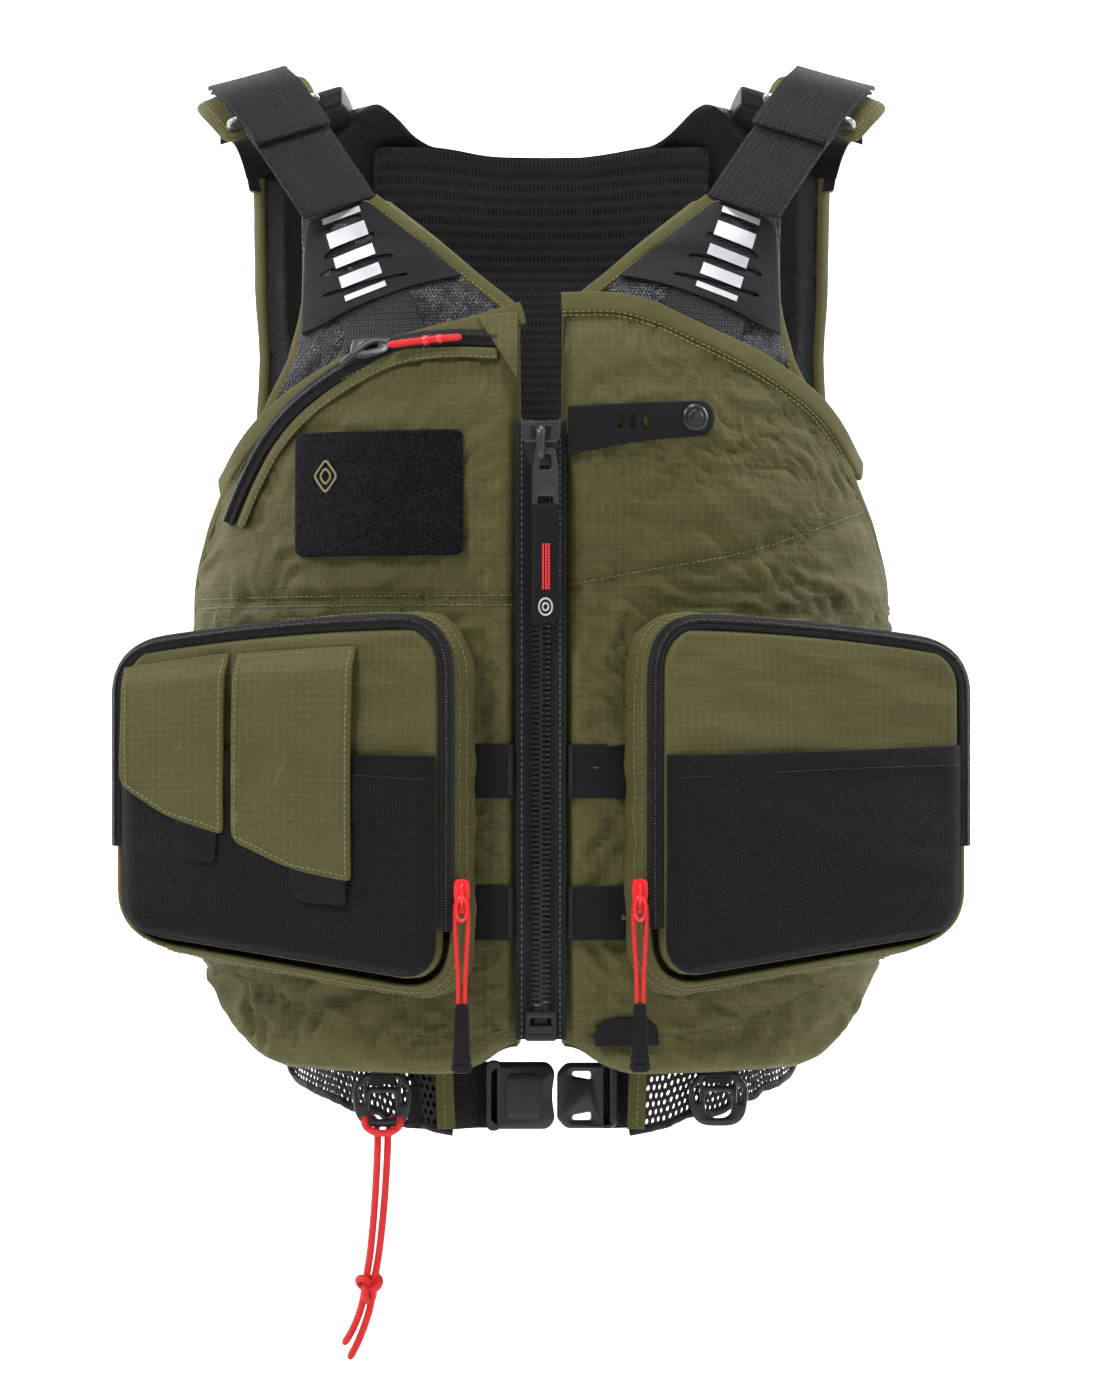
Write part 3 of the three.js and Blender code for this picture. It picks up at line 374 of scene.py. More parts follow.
def plate(name, outline, thickness, finish, holes=(), bevel=0.5, place=None, finest=0, sharp=40,
          lift=0.0):
    """A plate cut to an outline in plan, with holes and soft edges, then set in place.
    place turns plan points (first, second, height) into millimetres in the frame's own axes."""
    curve = bpy.data.curves.new(name, "CURVE")
    curve.dimensions, curve.fill_mode = "2D", "BOTH"
    curve.extrude, curve.bevel_depth, curve.bevel_resolution = thickness / 2 - bevel, bevel, 1
    curve.offset = -bevel
    for loop in [outline, *holes]:
        spline = curve.splines.new("POLY")
        spline.points.add(len(loop) - 1)
        flat = np.zeros((len(loop), 4))
        flat[:, :2], flat[:, 3] = loop, 1
        spline.points.foreach_set("co", flat.ravel())
        spline.use_cyclic_u = True
    holder = bpy.data.objects.new(name, curve)
    bpy.context.scene.collection.objects.link(holder)
    bpy.context.view_layer.update()
    graph = bpy.context.evaluated_depsgraph_get()
    mesh = bpy.data.meshes.new_from_object(holder.evaluated_get(graph))
    bpy.data.objects.remove(holder)
    bpy.data.curves.remove(curve)
    work = bmesh.new()
    work.from_mesh(mesh)
    bmesh.ops.remove_doubles(work, verts=work.verts, dist=1e-4)
    bmesh.ops.dissolve_degenerate(work, edges=work.edges, dist=1e-4)
    if finest:
        bmesh.ops.triangulate(work, faces=work.faces)
        for _ in range(6):
            long = [edge for edge in work.edges if edge.calc_length() > finest]
            if not long:
                break
            bmesh.ops.subdivide_edges(work, edges=long, cuts=1)
            bmesh.ops.triangulate(work, faces=work.faces)
    work.to_mesh(mesh)
    work.free()
    mesh.materials.clear()
    plan = np.array([v.co for v in mesh.vertices], float).reshape(-1, 3)
    cloth = mesh.uv_layers.get("cloth") or mesh.uv_layers.new(name="cloth")
    corners = np.zeros(len(mesh.loops), np.int32)
    mesh.loops.foreach_get("vertex_index", corners)
    cloth.data.foreach_set("uv", (plan[corners, :2] * MM).ravel())
    plan[:, 2] += thickness / 2 + lift
    places = place(plan) if place else np.stack([plan[:, 0], -plan[:, 2], plan[:, 1]], -1)
    mesh.vertices.foreach_set("co", (places * MM).ravel())
    mesh.update()
    return finished(name, mesh, [finish], sharp)


def front_stitches(path, into=None, lift=0.3, on_cloth=False):
    """Stitches along (x, z) pairs on the front, over its creases where on_cloth asks for it."""
    path = resample(path, 2.0)
    if on_cloth:
        lift = lift + cloth_lift(path[:, 0], path[:, 1])
    return stitched(*along_front(path, lift), into)


def mirrored(points, side):
    return np.asarray(points, float) * np.array([side] + [1.0] * (np.shape(points)[1] - 1))


def wave(points, scale, seed=0.0, octaves=3):
    """Repeatable noise from -1 to 1 at points in millimetres."""
    scale = np.asarray(scale, float)
    return np.array([noise.fractal(Vector(p / scale) + Vector((seed, seed * 0.7, seed * 1.3)), 1.0,
                                   2.0, octaves) for p in np.asarray(points, float)])


def spots_at(across, down):
    """Places in the plane of a cloth, at which its creases are read."""
    return np.stack([across, np.zeros(len(across)), down], -1)


def edge_gap(r, c, width, height):
    """Distance to the nearest edge of a sheet, from its row and column fractions."""
    return np.minimum(np.minimum(c, 1 - c) * width, np.minimum(r, 1 - r) * height)


def rolled(near, radius):
    """How far a round edge falls away: 1 at the edge and 0 beyond its radius."""
    return 1 - np.sqrt(1 - (1 - np.clip(near / radius, 0, 1)) ** 2)


def crumpled(spots, scale, seed, octaves, warp, warp_seed, reach):
    """Noise read at places that a broader noise has pushed about, so that its folds wander."""
    pushed = spots + wave(spots, warp, warp_seed, 2)[:, None] * reach
    return wave(pushed, scale, seed, octaves)


def away_from(points, path):
    """Distance in plan from points to a path of straight runs."""
    path = np.asarray(path, float)
    best = np.full(len(points), 1e9)
    for a, b in zip(path, path[1:]):
        d = b - a
        t = np.clip(((points - a) @ d) / max(d @ d, 1e-9), 0, 1)
        best = np.minimum(best, np.linalg.norm(points - a - t[:, None] * d, axis=1))
    return best


def settle(piece, body, slot, *nodes):
    """Rides the piece on its body and hides the frame parts that it stands for; slot is not used.
    """
    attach(piece, body)
    if nodes:
        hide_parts(*nodes)
    return piece


def sew(made, name, finish_name, body, slot, *nodes):
    """Makes the gathered faces into one piece and settles it."""
    return settle(made.piece(name, finish(finish_name)), body, slot, *nodes)


# ---- finishes -----------------------------------------------------------------------------------
def feed(tree, socket, value):
    """Links a socket to an output, or sets it to a constant."""
    if isinstance(value, bpy.types.NodeSocket):
        tree.links.new(value, socket)
    else:
        socket.default_value = value


class Nodes:
    """Writes a node tree: each call adds a node and links or sets its inputs."""

    def __init__(self, tree):
        self.tree = tree

    def add(self, kind, output=0, **inputs):
        node = self.tree.nodes.new(kind)
        for key, value in inputs.items():
            if key in ("operation", "uv_map"):
                setattr(node, key, value)
            else:
                numbered = key[0] == "i" and key[1:].isdigit()
                feed(self.tree, node.inputs[int(key[1:]) if numbered else key], value)
        return node.outputs[output]

    def maths(self, operation, first, second=0.0):
        return self.add("ShaderNodeMath", operation=operation, i0=first, i1=second)

    def split(self, vector):
        node = self.tree.nodes.new("ShaderNodeSeparateXYZ")
        self.tree.links.new(vector, node.inputs[0])
        return node.outputs

    def ramp(self, value, low, high, to_low=0.0, to_high=1.0):
        node = self.tree.nodes.new("ShaderNodeMapRange")
        self.tree.links.new(value, node.inputs[0])
        for k, each in enumerate((low, high, to_low, to_high), 1):
            node.inputs[k].default_value = each
        return node.outputs[0]

    def blend(self, share, first, second):
        """Mixes two colours: inputs 6 and 7 and output 2 of the mix node are colours."""
        node = self.tree.nodes.new("ShaderNodeMix")
        node.data_type = "RGBA"
        for number, value in ((0, share), (6, first), (7, second)):
            feed(self.tree, node.inputs[number], value)
        return node.outputs[2]


def node_group(name, inputs, outputs, write):
    """A shader node group with named float or vector inputs and float outputs."""
    tree = bpy.data.node_groups.new(name, "ShaderNodeTree")
    for label, kind, default in inputs:
        socket = tree.interface.new_socket(label, in_out="INPUT", socket_type=kind)
        if default is not None:
            socket.default_value = default
    for label in outputs:
        tree.interface.new_socket(label, in_out="OUTPUT", socket_type="NodeSocketFloat")
    start, end = tree.nodes.new("NodeGroupInput"), tree.nodes.new("NodeGroupOutput")
    made = write(Nodes(tree), {socket.name: socket for socket in start.outputs if socket.name})
    for label, socket in made.items():
        tree.links.new(socket, end.inputs[label])
    return tree


VECTOR, NUMBER = "NodeSocketVector", "NodeSocketFloat"


def write_ripstop(n, given):
    """Plain weave with a thicker thread at each line of a square grid."""
    parts = n.split(given["Cloth"])
    lines, threads = [], []
    for k in (0, 1):
        turns = n.maths("DIVIDE", parts[k], given["Grid"])
        near = n.maths("ABSOLUTE", n.maths("SUBTRACT", n.maths("FRACT", turns), 0.5))
        lines.append(n.ramp(near, 0.40, 0.47))
        threads.append(n.maths("SINE", n.maths("MULTIPLY",
                                               n.maths("DIVIDE", parts[k], given["Thread"]),
                                               math.tau)))
    grid = n.maths("MAXIMUM", *lines)
    weave = n.maths("MULTIPLY", *threads)
    broken = n.add("ShaderNodeTexNoise", Vector=given["Cloth"], Scale=420.0, Detail=2.0)
    grid = n.maths("MULTIPLY", grid, n.ramp(broken, 0.38, 0.6, 0.25, 1.0))
    height = n.maths("ADD", n.maths("MULTIPLY", grid, 0.7), n.maths("MULTIPLY", weave, 0.22))
    return {"Line": grid, "Weave": weave, "Height": height}


def write_open_mesh(n, given):
    """Round holes in a staggered pattern, with the knitted bars between them."""
    scaled = n.add("ShaderNodeVectorMath", operation="SCALE", i0=given["Cloth"],
                   Scale=n.maths("DIVIDE", 1.0, given["Pitch"]))
    parts = n.split(scaled)
    up = n.maths("DIVIDE", parts[1], 0.866)
    row = n.maths("FLOOR", up)
    shift = n.maths("MULTIPLY", n.maths("MODULO", n.maths("ABSOLUTE", row), 2.0), 0.5)
    x = n.maths("SUBTRACT", n.maths("FRACT", n.maths("ADD", parts[0], shift)), 0.5)
    y = n.maths("MULTIPLY", n.maths("SUBTRACT", n.maths("FRACT", up), 0.5), 0.866)
    reach = n.maths("SQRT", n.maths("ADD", n.maths("MULTIPLY", x, x), n.maths("MULTIPLY", y, y)))
    rough = n.add("ShaderNodeTexNoise", Vector=given["Cloth"], Scale=900.0, Detail=1.0)
    reach = n.maths("ADD", reach, n.ramp(rough, 0.3, 0.7, -0.04, 0.04))
    bars = n.ramp(reach, 0.24, 0.34)
    return {"Bars": bars, "Height": bars}


def write_ribs(n, given):
    """Webbing: ribs across the strap, crossed by a fine chevron of threads."""
    parts = n.split(given["Cloth"])
    lean = n.maths("PINGPONG", n.maths("DIVIDE", parts[1], given["Rib"]), 1.0)
    along = n.maths("ADD", n.maths("DIVIDE", parts[0], given["Rib"]),
                    n.maths("MULTIPLY", lean, 0.5))
    ribs = n.maths("ABSOLUTE", n.maths("SINE", n.maths("MULTIPLY", along, math.pi)))
    across = n.maths("ABSOLUTE", n.maths("SINE",
                                         n.maths("MULTIPLY",
                                                 n.maths("DIVIDE", parts[1], given["Rib"]),
                                                 math.pi)))
    height = n.maths("MULTIPLY", ribs, n.maths("ADD", n.maths("MULTIPLY", across, 0.6), 0.4))
    return {"Ribs": height, "Height": height}


def write_wear(n, given):
    """Soft dirt and fading: broad patches, fine grain, and a lift along worn edges."""
    broad = n.add("ShaderNodeTexNoise", Vector=given["Place"], Scale=given["Patch"], Detail=4.0,
                  Roughness=0.6)
    fine = n.add("ShaderNodeTexNoise", Vector=given["Place"], Scale=given["Grain"], Detail=3.0)
    shape = n.tree.nodes.new("ShaderNodeNewGeometry")
    edge = n.ramp(shape.outputs["Pointiness"], 0.52, 0.62)
    return {"Patches": n.ramp(broad, 0.3, 0.7), "Grain": fine, "Edge": edge}


GROUPS = {}


def groups():
    """The effects that several finishes share, built once."""
    if not GROUPS:
        cloth, place = ("Cloth", VECTOR, None), ("Place", VECTOR, None)
        for key, name, inputs, outputs, write in (
                ("ripstop", "ripstop weave", [cloth, ("Grid", NUMBER, 0.0046),
                                              ("Thread", NUMBER, 0.0007)],
                 ["Line", "Weave", "Height"], write_ripstop),
                ("mesh", "open mesh", [cloth, ("Pitch", NUMBER, 0.004)], ["Bars", "Height"],
                 write_open_mesh),
                ("ribs", "webbing ribs", [cloth, ("Rib", NUMBER, 0.0016)], ["Ribs", "Height"],
                 write_ribs),
                ("wear", "wear and grain", [place, ("Patch", NUMBER, 9.0),
                                            ("Grain", NUMBER, 900.0)],
                 ["Patches", "Grain", "Edge"], write_wear)):
            GROUPS[key] = node_group(name, inputs, outputs, write)
    return GROUPS


class Finish:
    """A material's nodes, its shader and the coordinates that cloth and moulded pieces use."""

    def __init__(self, name, roughness, sheen=0.0, sheen_tint=None, coat=0.0, metallic=0.0,
                 specular=0.5):
        self.material = bpy.data.materials.new(name)
        self.material.use_nodes = True
        self.n = Nodes(self.material.node_tree)
        self.shader = self.material.node_tree.nodes["Principled BSDF"]
        self.set("Roughness", roughness)
        self.set("Sheen Weight", sheen)
        self.set("Sheen Roughness", 0.45)
        if sheen_tint:
            self.set("Sheen Tint", (*sheen_tint, 1))
        self.set("Coat Weight", coat)
        self.set("Metallic", metallic)
        self.set("Specular IOR Level", specular)
        self.cloth = self.n.add("ShaderNodeUVMap", uv_map="cloth")
        self.place = self.n.add("ShaderNodeTexCoord", output=3)

    def set(self, name, value):
        feed(self.material.node_tree, self.shader.inputs[name], value)

    def group(self, key, **inputs):
        tree = self.material.node_tree
        node = tree.nodes.new("ShaderNodeGroup")
        node.node_tree = groups()[key]
        for name, value in inputs.items():
            feed(tree, node.inputs[name], value)
        return node.outputs

    def bump(self, height, distance, strength=1.0, under=None):
        node = self.material.node_tree.nodes.new("ShaderNodeBump")
        node.inputs["Strength"].default_value = strength
        node.inputs["Distance"].default_value = distance
        self.material.node_tree.links.new(height, node.inputs["Height"])
        if under:
            self.material.node_tree.links.new(under, node.inputs["Normal"])
        self.set("Normal", node.outputs[0])
        return node.outputs[0]


def shade(colour, factor):
    return tuple(min(1.0, c * factor) for c in colour[:3]) + (1,)


def make_ripstop(name, colour, line, roughness=0.7, sheen=0.1, grid=0.0046):
    f = Finish(name, roughness, sheen=sheen, sheen_tint=shade(colour, 3)[:3], specular=0.25)
    weave = f.group("ripstop", Cloth=f.cloth, Grid=grid)
    wear = f.group("wear", Place=f.place, Patch=14.0, Grain=1200.0)
    base = f.n.blend(wear["Patches"], shade(colour, 0.86), shade(colour, 1.12))
    base = f.n.blend(f.n.ramp(weave["Weave"], -1, 1, 0, 0.35), base, shade(colour, 0.6))
    base = f.n.blend(f.n.maths("MULTIPLY", weave["Line"], 0.26), base, shade(line, 1))
    base = f.n.blend(f.n.maths("MULTIPLY", wear["Edge"], 0.25), base, shade(line, 1.1))
    f.set("Base Color", base)
    f.set("Roughness", f.n.ramp(wear["Grain"], 0.3, 0.7, roughness - 0.06, roughness + 0.08))
    crease = f.n.add("ShaderNodeTexNoise", Vector=f.place, Scale=70.0, Detail=5.0, Distortion=0.6)
    f.bump(weave["Height"], 0.00022, 0.8, f.bump(crease, 0.0011, 0.55))
    return f.material


def make_nylon(name, colour, roughness=0.48, sheen=0.06):
    f = Finish(name, roughness, sheen=sheen, specular=0.22)
    weave = f.group("ripstop", Cloth=f.cloth, Grid=0.0006, Thread=0.0005)
    wear = f.group("wear", Place=f.place, Patch=20.0, Grain=700.0)
    f.set("Base Color", f.n.blend(wear["Patches"], shade(colour, 0.8), shade(colour, 1.3)))
    f.set("Roughness", f.n.ramp(wear["Grain"], 0.3, 0.7, roughness - 0.08, roughness + 0.1))
    crease = f.n.add("ShaderNodeTexNoise", Vector=f.place, Scale=55.0, Detail=6.0, Distortion=1.4)
    f.bump(weave["Weave"], 0.00006, 0.5, f.bump(crease, 0.0022, 0.8))
    return f.material


def make_open_mesh(name, colour, pitch, see_through):
    f = Finish(name, 0.6, sheen=0.05, specular=0.3)
    holes = f.group("mesh", Cloth=f.cloth, Pitch=pitch)
    wear = f.group("wear", Place=f.place, Patch=12.0, Grain=1500.0)
    bars = f.n.blend(wear["Grain"], shade(colour, 0.7), shade(colour, 1.9))
    # Painted shade: the holes between the bars are coloured far darker than the cloth itself; where
    # see_through, alpha also opens them
    f.set("Base Color", f.n.blend(holes["Bars"], shade(colour, 0.12), bars))
    if see_through:
        f.set("Alpha", f.n.ramp(holes["Bars"], 0.25, 0.6))
    f.bump(holes["Height"], 0.0009, 1.0, f.bump(wear["Grain"], 0.0004, 0.6))
    return f.material


def make_stretch_knit(name, colour):
    f = Finish(name, 0.8, sheen=0.05, specular=0.12)
    knit = f.group("ribs", Cloth=f.cloth, Rib=0.0019)
    wear = f.group("wear", Place=f.place, Patch=18.0, Grain=1400.0)
    # Painted shade and light from the rib height: dark grooves, lighter ridges
    base = f.n.blend(knit["Ribs"], shade(colour, 0.25), shade(colour, 2.2))
    f.set("Base Color", f.n.blend(f.n.maths("MULTIPLY", wear["Patches"], 0.5), base,
                                  shade(colour, 1.5)))
    f.bump(knit["Height"], 0.0007, 1.0)
    return f.material


def make_heather(name):
    f = Finish(name, 0.85, sheen=0.2, specular=0.25)
    knit = f.group("mesh", Cloth=f.cloth, Pitch=0.0022)
    speck = f.n.add("ShaderNodeTexNoise", Vector=f.place, Scale=900.0, Detail=2.0)
    blotch = f.n.add("ShaderNodeTexNoise", Vector=f.place, Scale=90.0, Detail=3.0)
    light = f.n.maths("MULTIPLY", f.n.ramp(speck, 0.47, 0.6),
                      f.n.ramp(blotch, 0.4, 0.62, 0.25, 1.0))
    base = f.n.blend(light, (0.016, 0.016, 0.02, 1), (0.15, 0.155, 0.17, 1))
    # Painted shade: the mesh holes are coloured darker than any yarn of the heather knit
    f.set("Base Color", f.n.blend(knit["Bars"], (0.006, 0.006, 0.007, 1), base))
    f.bump(knit["Height"], 0.0005, 0.9)
    return f.material


def make_webbing(name, colour, rib=0.0017):
    f = Finish(name, 0.5, sheen=0.03, specular=0.22)
    ribs = f.group("ribs", Cloth=f.cloth, Rib=rib)
    wear = f.group("wear", Place=f.place, Patch=16.0, Grain=1300.0)
    # Painted shade and light from the rib height: dark grooves, lighter ribs; the zip tape uses
    # this finish too
    base = f.n.blend(ribs["Ribs"], shade(colour, 0.3), shade(colour, 1.9))
    f.set("Base Color", f.n.blend(f.n.maths("MULTIPLY", wear["Edge"], 0.5), base,
                                  shade(colour, 2.4)))
    f.set("Roughness", f.n.ramp(wear["Grain"], 0.3, 0.7, 0.46, 0.66))
    f.bump(ribs["Height"], 0.0009, 1.0)
    return f.material


def make_thread(name, colour):
    f = Finish(name, 0.6, sheen=0.3)
    twist = f.n.add("ShaderNodeTexNoise", Vector=f.place, Scale=1600.0, Detail=1.0)
    f.set("Base Color", f.n.blend(twist, shade(colour, 0.7), shade(colour, 1.25)))
    f.bump(twist, 0.0002, 0.6)
    return f.material


def make_moulded(name, colour, roughness, grain=2600.0, depth=0.00006, coat=0.0, metallic=0.0,
                 edge=1.6, specular=0.5):
    f = Finish(name, roughness, coat=coat, metallic=metallic, specular=specular)
    wear = f.group("wear", Place=f.place, Patch=30.0, Grain=grain)
    base = f.n.blend(wear["Patches"], shade(colour, 0.88), shade(colour, 1.1))
    f.set("Base Color", f.n.blend(f.n.maths("MULTIPLY", wear["Edge"], 0.7), base,
                                  shade(colour, edge)))
    f.set("Roughness", f.n.ramp(wear["Patches"], 0, 1, roughness - 0.07, roughness + 0.08))
    f.bump(wear["Grain"], depth, 0.7)
    return f.material


def make_cord(name, colour):
    f = Finish(name, 0.55, sheen=0.35, sheen_tint=shade(colour, 1.3)[:3])
    braid = f.group("ripstop", Cloth=f.cloth, Grid=0.0016, Thread=0.0016)
    wear = f.group("wear", Place=f.place, Patch=30.0, Grain=1800.0)
    # Painted shade in the braid's low points and light on its high points, from the same weave that
    # bumps it
    base = f.n.blend(f.n.ramp(braid["Weave"], -1, 1), shade(colour, 0.62), shade(colour, 1.08))
    f.set("Base Color", f.n.blend(wear["Grain"], base, shade(colour, 0.9)))
    f.bump(braid["Weave"], 0.0003, 0.9)
    return f.material


def make_loop_pile(name, colour):
    f = Finish(name, 0.95, sheen=0.12, sheen_tint=(0.35, 0.32, 0.36), specular=0.08)
    tufts = f.n.add("ShaderNodeTexNoise", Vector=f.place, Scale=650.0, Detail=4.0, Roughness=0.75)
    broad = f.n.add("ShaderNodeTexNoise", Vector=f.place, Scale=70.0, Detail=3.0)
    # Painted shade between the tufts and painted light on their tops, from the noise that bumps
    # them
    base = f.n.blend(f.n.ramp(tufts, 0.4, 0.62), shade(colour, 0.15), shade(colour, 2.4))
    f.set("Base Color", f.n.blend(f.n.ramp(broad, 0.35, 0.65, 0, 0.4), base, shade(colour, 0.5)))
    f.bump(tufts, 0.0016, 1.0)
    return f.material


FINISHES = {}


def finish(name):
    """A finish by its name, made the first time that a piece asks for it."""
    if not FINISHES:
        tones = bpy.context.scene.vest_colours
        sizes = bpy.context.scene.vest_sizes
        olive, thread = tuple(tones.olive), tuple(tones.thread)
        black, red = tuple(tones.black), tuple(tones.red)
        FINISHES.update({
            "olive": make_ripstop("olive ripstop", olive, thread, grid=sizes.ripstop_grid),
            "binding": make_ripstop("olive binding", shade(olive, 1.05), shade(olive, 1.35), 0.8,
                                    0.15, 0.0014),
            "nylon": make_nylon("black nylon", shade(black, 1.0)),
            "spacer": make_open_mesh("black spacer mesh", shade(black, 1.7), 0.0062, False),
            "open mesh": make_open_mesh("black open mesh", shade(black, 0.7), 0.0052, True),
            "heather": make_heather("grey heather mesh"),
            "stretch": make_stretch_knit("black stretch knit", shade(black, 0.62)),
            "webbing": make_webbing("black webbing", shade(black, 0.8)),
            "tape": make_webbing("black zip tape", shade(black, 0.8), 0.0011),
            "thread": make_thread("olive thread", thread),
            "dark thread": make_thread("dark olive thread", shade(olive, 0.35)),
            "black thread": make_thread("black thread", shade(black, 0.8)),
            "grey thread": make_thread("grey thread", (0.2, 0.2, 0.21)),
            "red thread": make_thread("red thread", red),
            "rubber": make_moulded("black rubber", shade(black, 0.9), 0.55, 900.0, 0.00012,
                                   specular=0.12),
            "plastic": make_moulded("black plastic", shade(black, 0.8), 0.32, 2600.0, 0.00004,
                                    specular=0.4),
            "teeth": make_moulded("zip teeth", shade(black, 0.9), 0.22, 2600.0, 0.00002),
            "grey plastic": make_moulded("grey plastic", (0.026, 0.026, 0.028), 0.3),
            "red plastic": make_moulded("red plastic", red, 0.3, coat=0.3, edge=1.2),
            "steel": make_moulded("satin steel", (0.42, 0.43, 0.45), 0.3, metallic=0.9, edge=1.3),
            "reflector": make_moulded("reflective silver", (0.50, 0.51, 0.53), 0.42, 1500.0,
                                      0.00008, metallic=0.55, edge=1.1),
            "cord": make_cord("red cord", red),
            "pile": make_loop_pile("black loop pile", shade(black, 0.75)),
        })
    return FINISHES[name]


# ---- sizes and colours that a user would change -------------------------------------------------
class VestSizes(PropertyGroup):
    ripstop_grid: FloatProperty(name="Ripstop grid", default=0.0046, min=0.002, max=0.02,
                                unit="LENGTH",
                                description="Distance between the thick threads of the olive cloth")
    tooth_pitch: FloatProperty(name="Zip tooth pitch", default=0.00285, min=0.002, max=0.006,
                               unit="LENGTH",
                               description="Distance between two teeth on one side of the zip")
    stitch_pitch: FloatProperty(name="Stitch length", default=0.0034, min=0.002, max=0.008,
                                unit="LENGTH",
                                description="Distance from one stitch to the next on the seams")
    wrinkle_depth: FloatProperty(name="Wrinkle depth", default=0.0027, min=0.0, max=0.005,
                                 unit="LENGTH",
                                 description="How deep the creases of the padded panels go")


class VestColours(PropertyGroup):
    olive: FloatVectorProperty(name="Olive", subtype="COLOR", size=3, min=0, max=1,
                               default=(0.074, 0.0675, 0.0205),
                               description="The ripstop cloth and its bindings")
    thread: FloatVectorProperty(name="Thread", subtype="COLOR", size=3, min=0, max=1,
                                default=(0.185, 0.172, 0.062),
                                description="The thick grid threads and the seams")
    black: FloatVectorProperty(name="Black", subtype="COLOR", size=3, min=0, max=1,
                               default=(0.0095, 0.0088, 0.0100),
                               description="Nylon, mesh, webbing and rubber")
    red: FloatVectorProperty(name="Red", subtype="COLOR", size=3, min=0, max=1,
                             default=(0.80, 0.012, 0.014), description="Cords and pocket sliders")


# ---- stage and camera ---------------------------------------------------------------------------
VIEW_DISTANCE, VIEW_HEIGHT, VIEW_FIELD = 2.2, -0.353, 0.773
FLOOR, FLOOR_BACK, FLOOR_BEND, FLOOR_SIDE = -0.742, 1.6, 1.2, 6.0


def build_stage():
    scene = bpy.context.scene
    lens = bpy.data.cameras.new("view")
    lens.sensor_fit = "VERTICAL"
    lens.angle = 2 * math.atan(VIEW_FIELD / 2 / VIEW_DISTANCE)
    camera = bpy.data.objects.new("view", lens)
    camera.location = (0.0045, -0.13 - VIEW_DISTANCE, VIEW_HEIGHT)
    camera.rotation_euler = (math.pi / 2, 0, 0)
    scene.collection.objects.link(camera)
    scene.camera = camera
    scene.view_settings.view_transform = "Standard"
    floor = Finish("pale floor", 0.9, specular=0.1)
    cloud = floor.n.add("ShaderNodeTexNoise", Vector=floor.place, Scale=3.0, Detail=3.0)
    floor.set("Base Color", floor.n.blend(cloud, (0.90, 0.90, 0.905, 1), (0.94, 0.94, 0.945, 1)))
    mesh = bpy.data.meshes.new("floor")
    bend = [(-FLOOR_SIDE, FLOOR), (FLOOR_BACK, FLOOR)]
    bend += [(FLOOR_BACK + FLOOR_BEND * math.sin(a), FLOOR + FLOOR_BEND * (1 - math.cos(a)))
             for a in np.linspace(0.15, math.pi / 2, 10)]
    bend.append((FLOOR_BACK + FLOOR_BEND, 4.0))
    points = [(x, y, z) for y, z in bend for x in (-FLOOR_SIDE, FLOOR_SIDE)]
    mesh.from_pydata(points, [], [(2 * i, 2 * i + 1, 2 * i + 3, 2 * i + 2)
                                  for i in range(len(bend) - 1)])
    mesh.materials.append(floor.material)
    mesh.polygons.foreach_set("use_smooth", [True] * len(mesh.polygons))
    floor_object = bpy.data.objects.new("floor", mesh)
    scene.collection.objects.link(floor_object)
    world = bpy.data.worlds.new("studio")
    world.use_nodes = True
    world.node_tree.nodes["Background"].inputs["Color"].default_value = (0.93, 0.95, 1.0, 1)
    world.node_tree.nodes["Background"].inputs["Strength"].default_value = 0.3
    scene.world = world
    lamps = (("key", (-1.3, -1.6, 1.5), 0.8, 46), ("fill", (1.8, -1.7, 0.3), 1.4, 10),
             ("top", (0.3, -0.35, 1.5), 0.7, 26), ("rim", (0.3, 1.9, 0.9), 1.4, 10),
             ("left backdrop", (-2.4, 0.9, 0.9), 1.6, 110),
             ("right backdrop", (2.4, 0.9, 0.9), 1.6, 110))
    for name, place, size, power in lamps:
        light = bpy.data.lights.new(name, "AREA")
        light.shape, light.size, light.energy = "DISK", size, power
        lamp = bpy.data.objects.new(name, light)
        lamp.location = place
        aim = Vector((0, 2.8, 0.2)) if "backdrop" in name else Vector((0, 0, -0.3))
        lamp.rotation_euler = (aim - Vector(place)).to_track_quat("-Z", "Y").to_euler()
        scene.collection.objects.link(lamp)
        lamp.visible_camera = False


# ---- front panels -------------------------------------------------------------------------------
# Lines on the front, as (x, z) for the wearer's left; the right ones are drawn mirrored.
TOP_HEM = {"right": [(-11.5, -136), (-40, -144), (-72, -152), (-99, -160), (-137, -179),
                     (-168, -203), (-190, -232)],
           "left": [(11.5, -130), (44, -130), (70, -137), (90, -146), (130, -165), (165, -189),
                    (190, -222)]}
CHEST_SEAM = {"right": [(-198, -303), (-16, -303)],
              "left": [(17, -296), (60, -288), (120, -276), (186, -252)]}
LOWER_SEAM = [(14, -552), (51, -551), (90, -548), (122, -541), (150, -530), (178, -519)]
POCKET_TURN = math.radians(22)
POCKET_ACROSS = np.array([math.cos(POCKET_TURN), math.sin(POCKET_TURN), 0])
POCKET_OUT = np.array([math.sin(POCKET_TURN), -math.cos(POCKET_TURN), 0])
POCKET_START, POCKET_REACH = 48.0, 186.0     # a pocket's inner edge, from the middle and forwards
POCKET_LONG, POCKET_HIGH, POCKET_CORNER = 211.0, 206.0, 28.0
POCKET_FIRST = {"right": 3.0, "left": 15.0}
DOOR_DEEP, ZIP_BAND, SEWN, DOOR_SPAN = 8.0, 5.6, 0.3, 195


def hem_height(x, side_name):
    line = np.array(TOP_HEM[side_name])
    order = np.argsort(line[:, 0])
    return np.interp(x, line[order, 0], line[order, 1])


def hem_rise(turn, low):
    """The hem climbs towards the side seam."""
    return 52 * smooth(turn, math.radians(50), math.radians(89)) * low


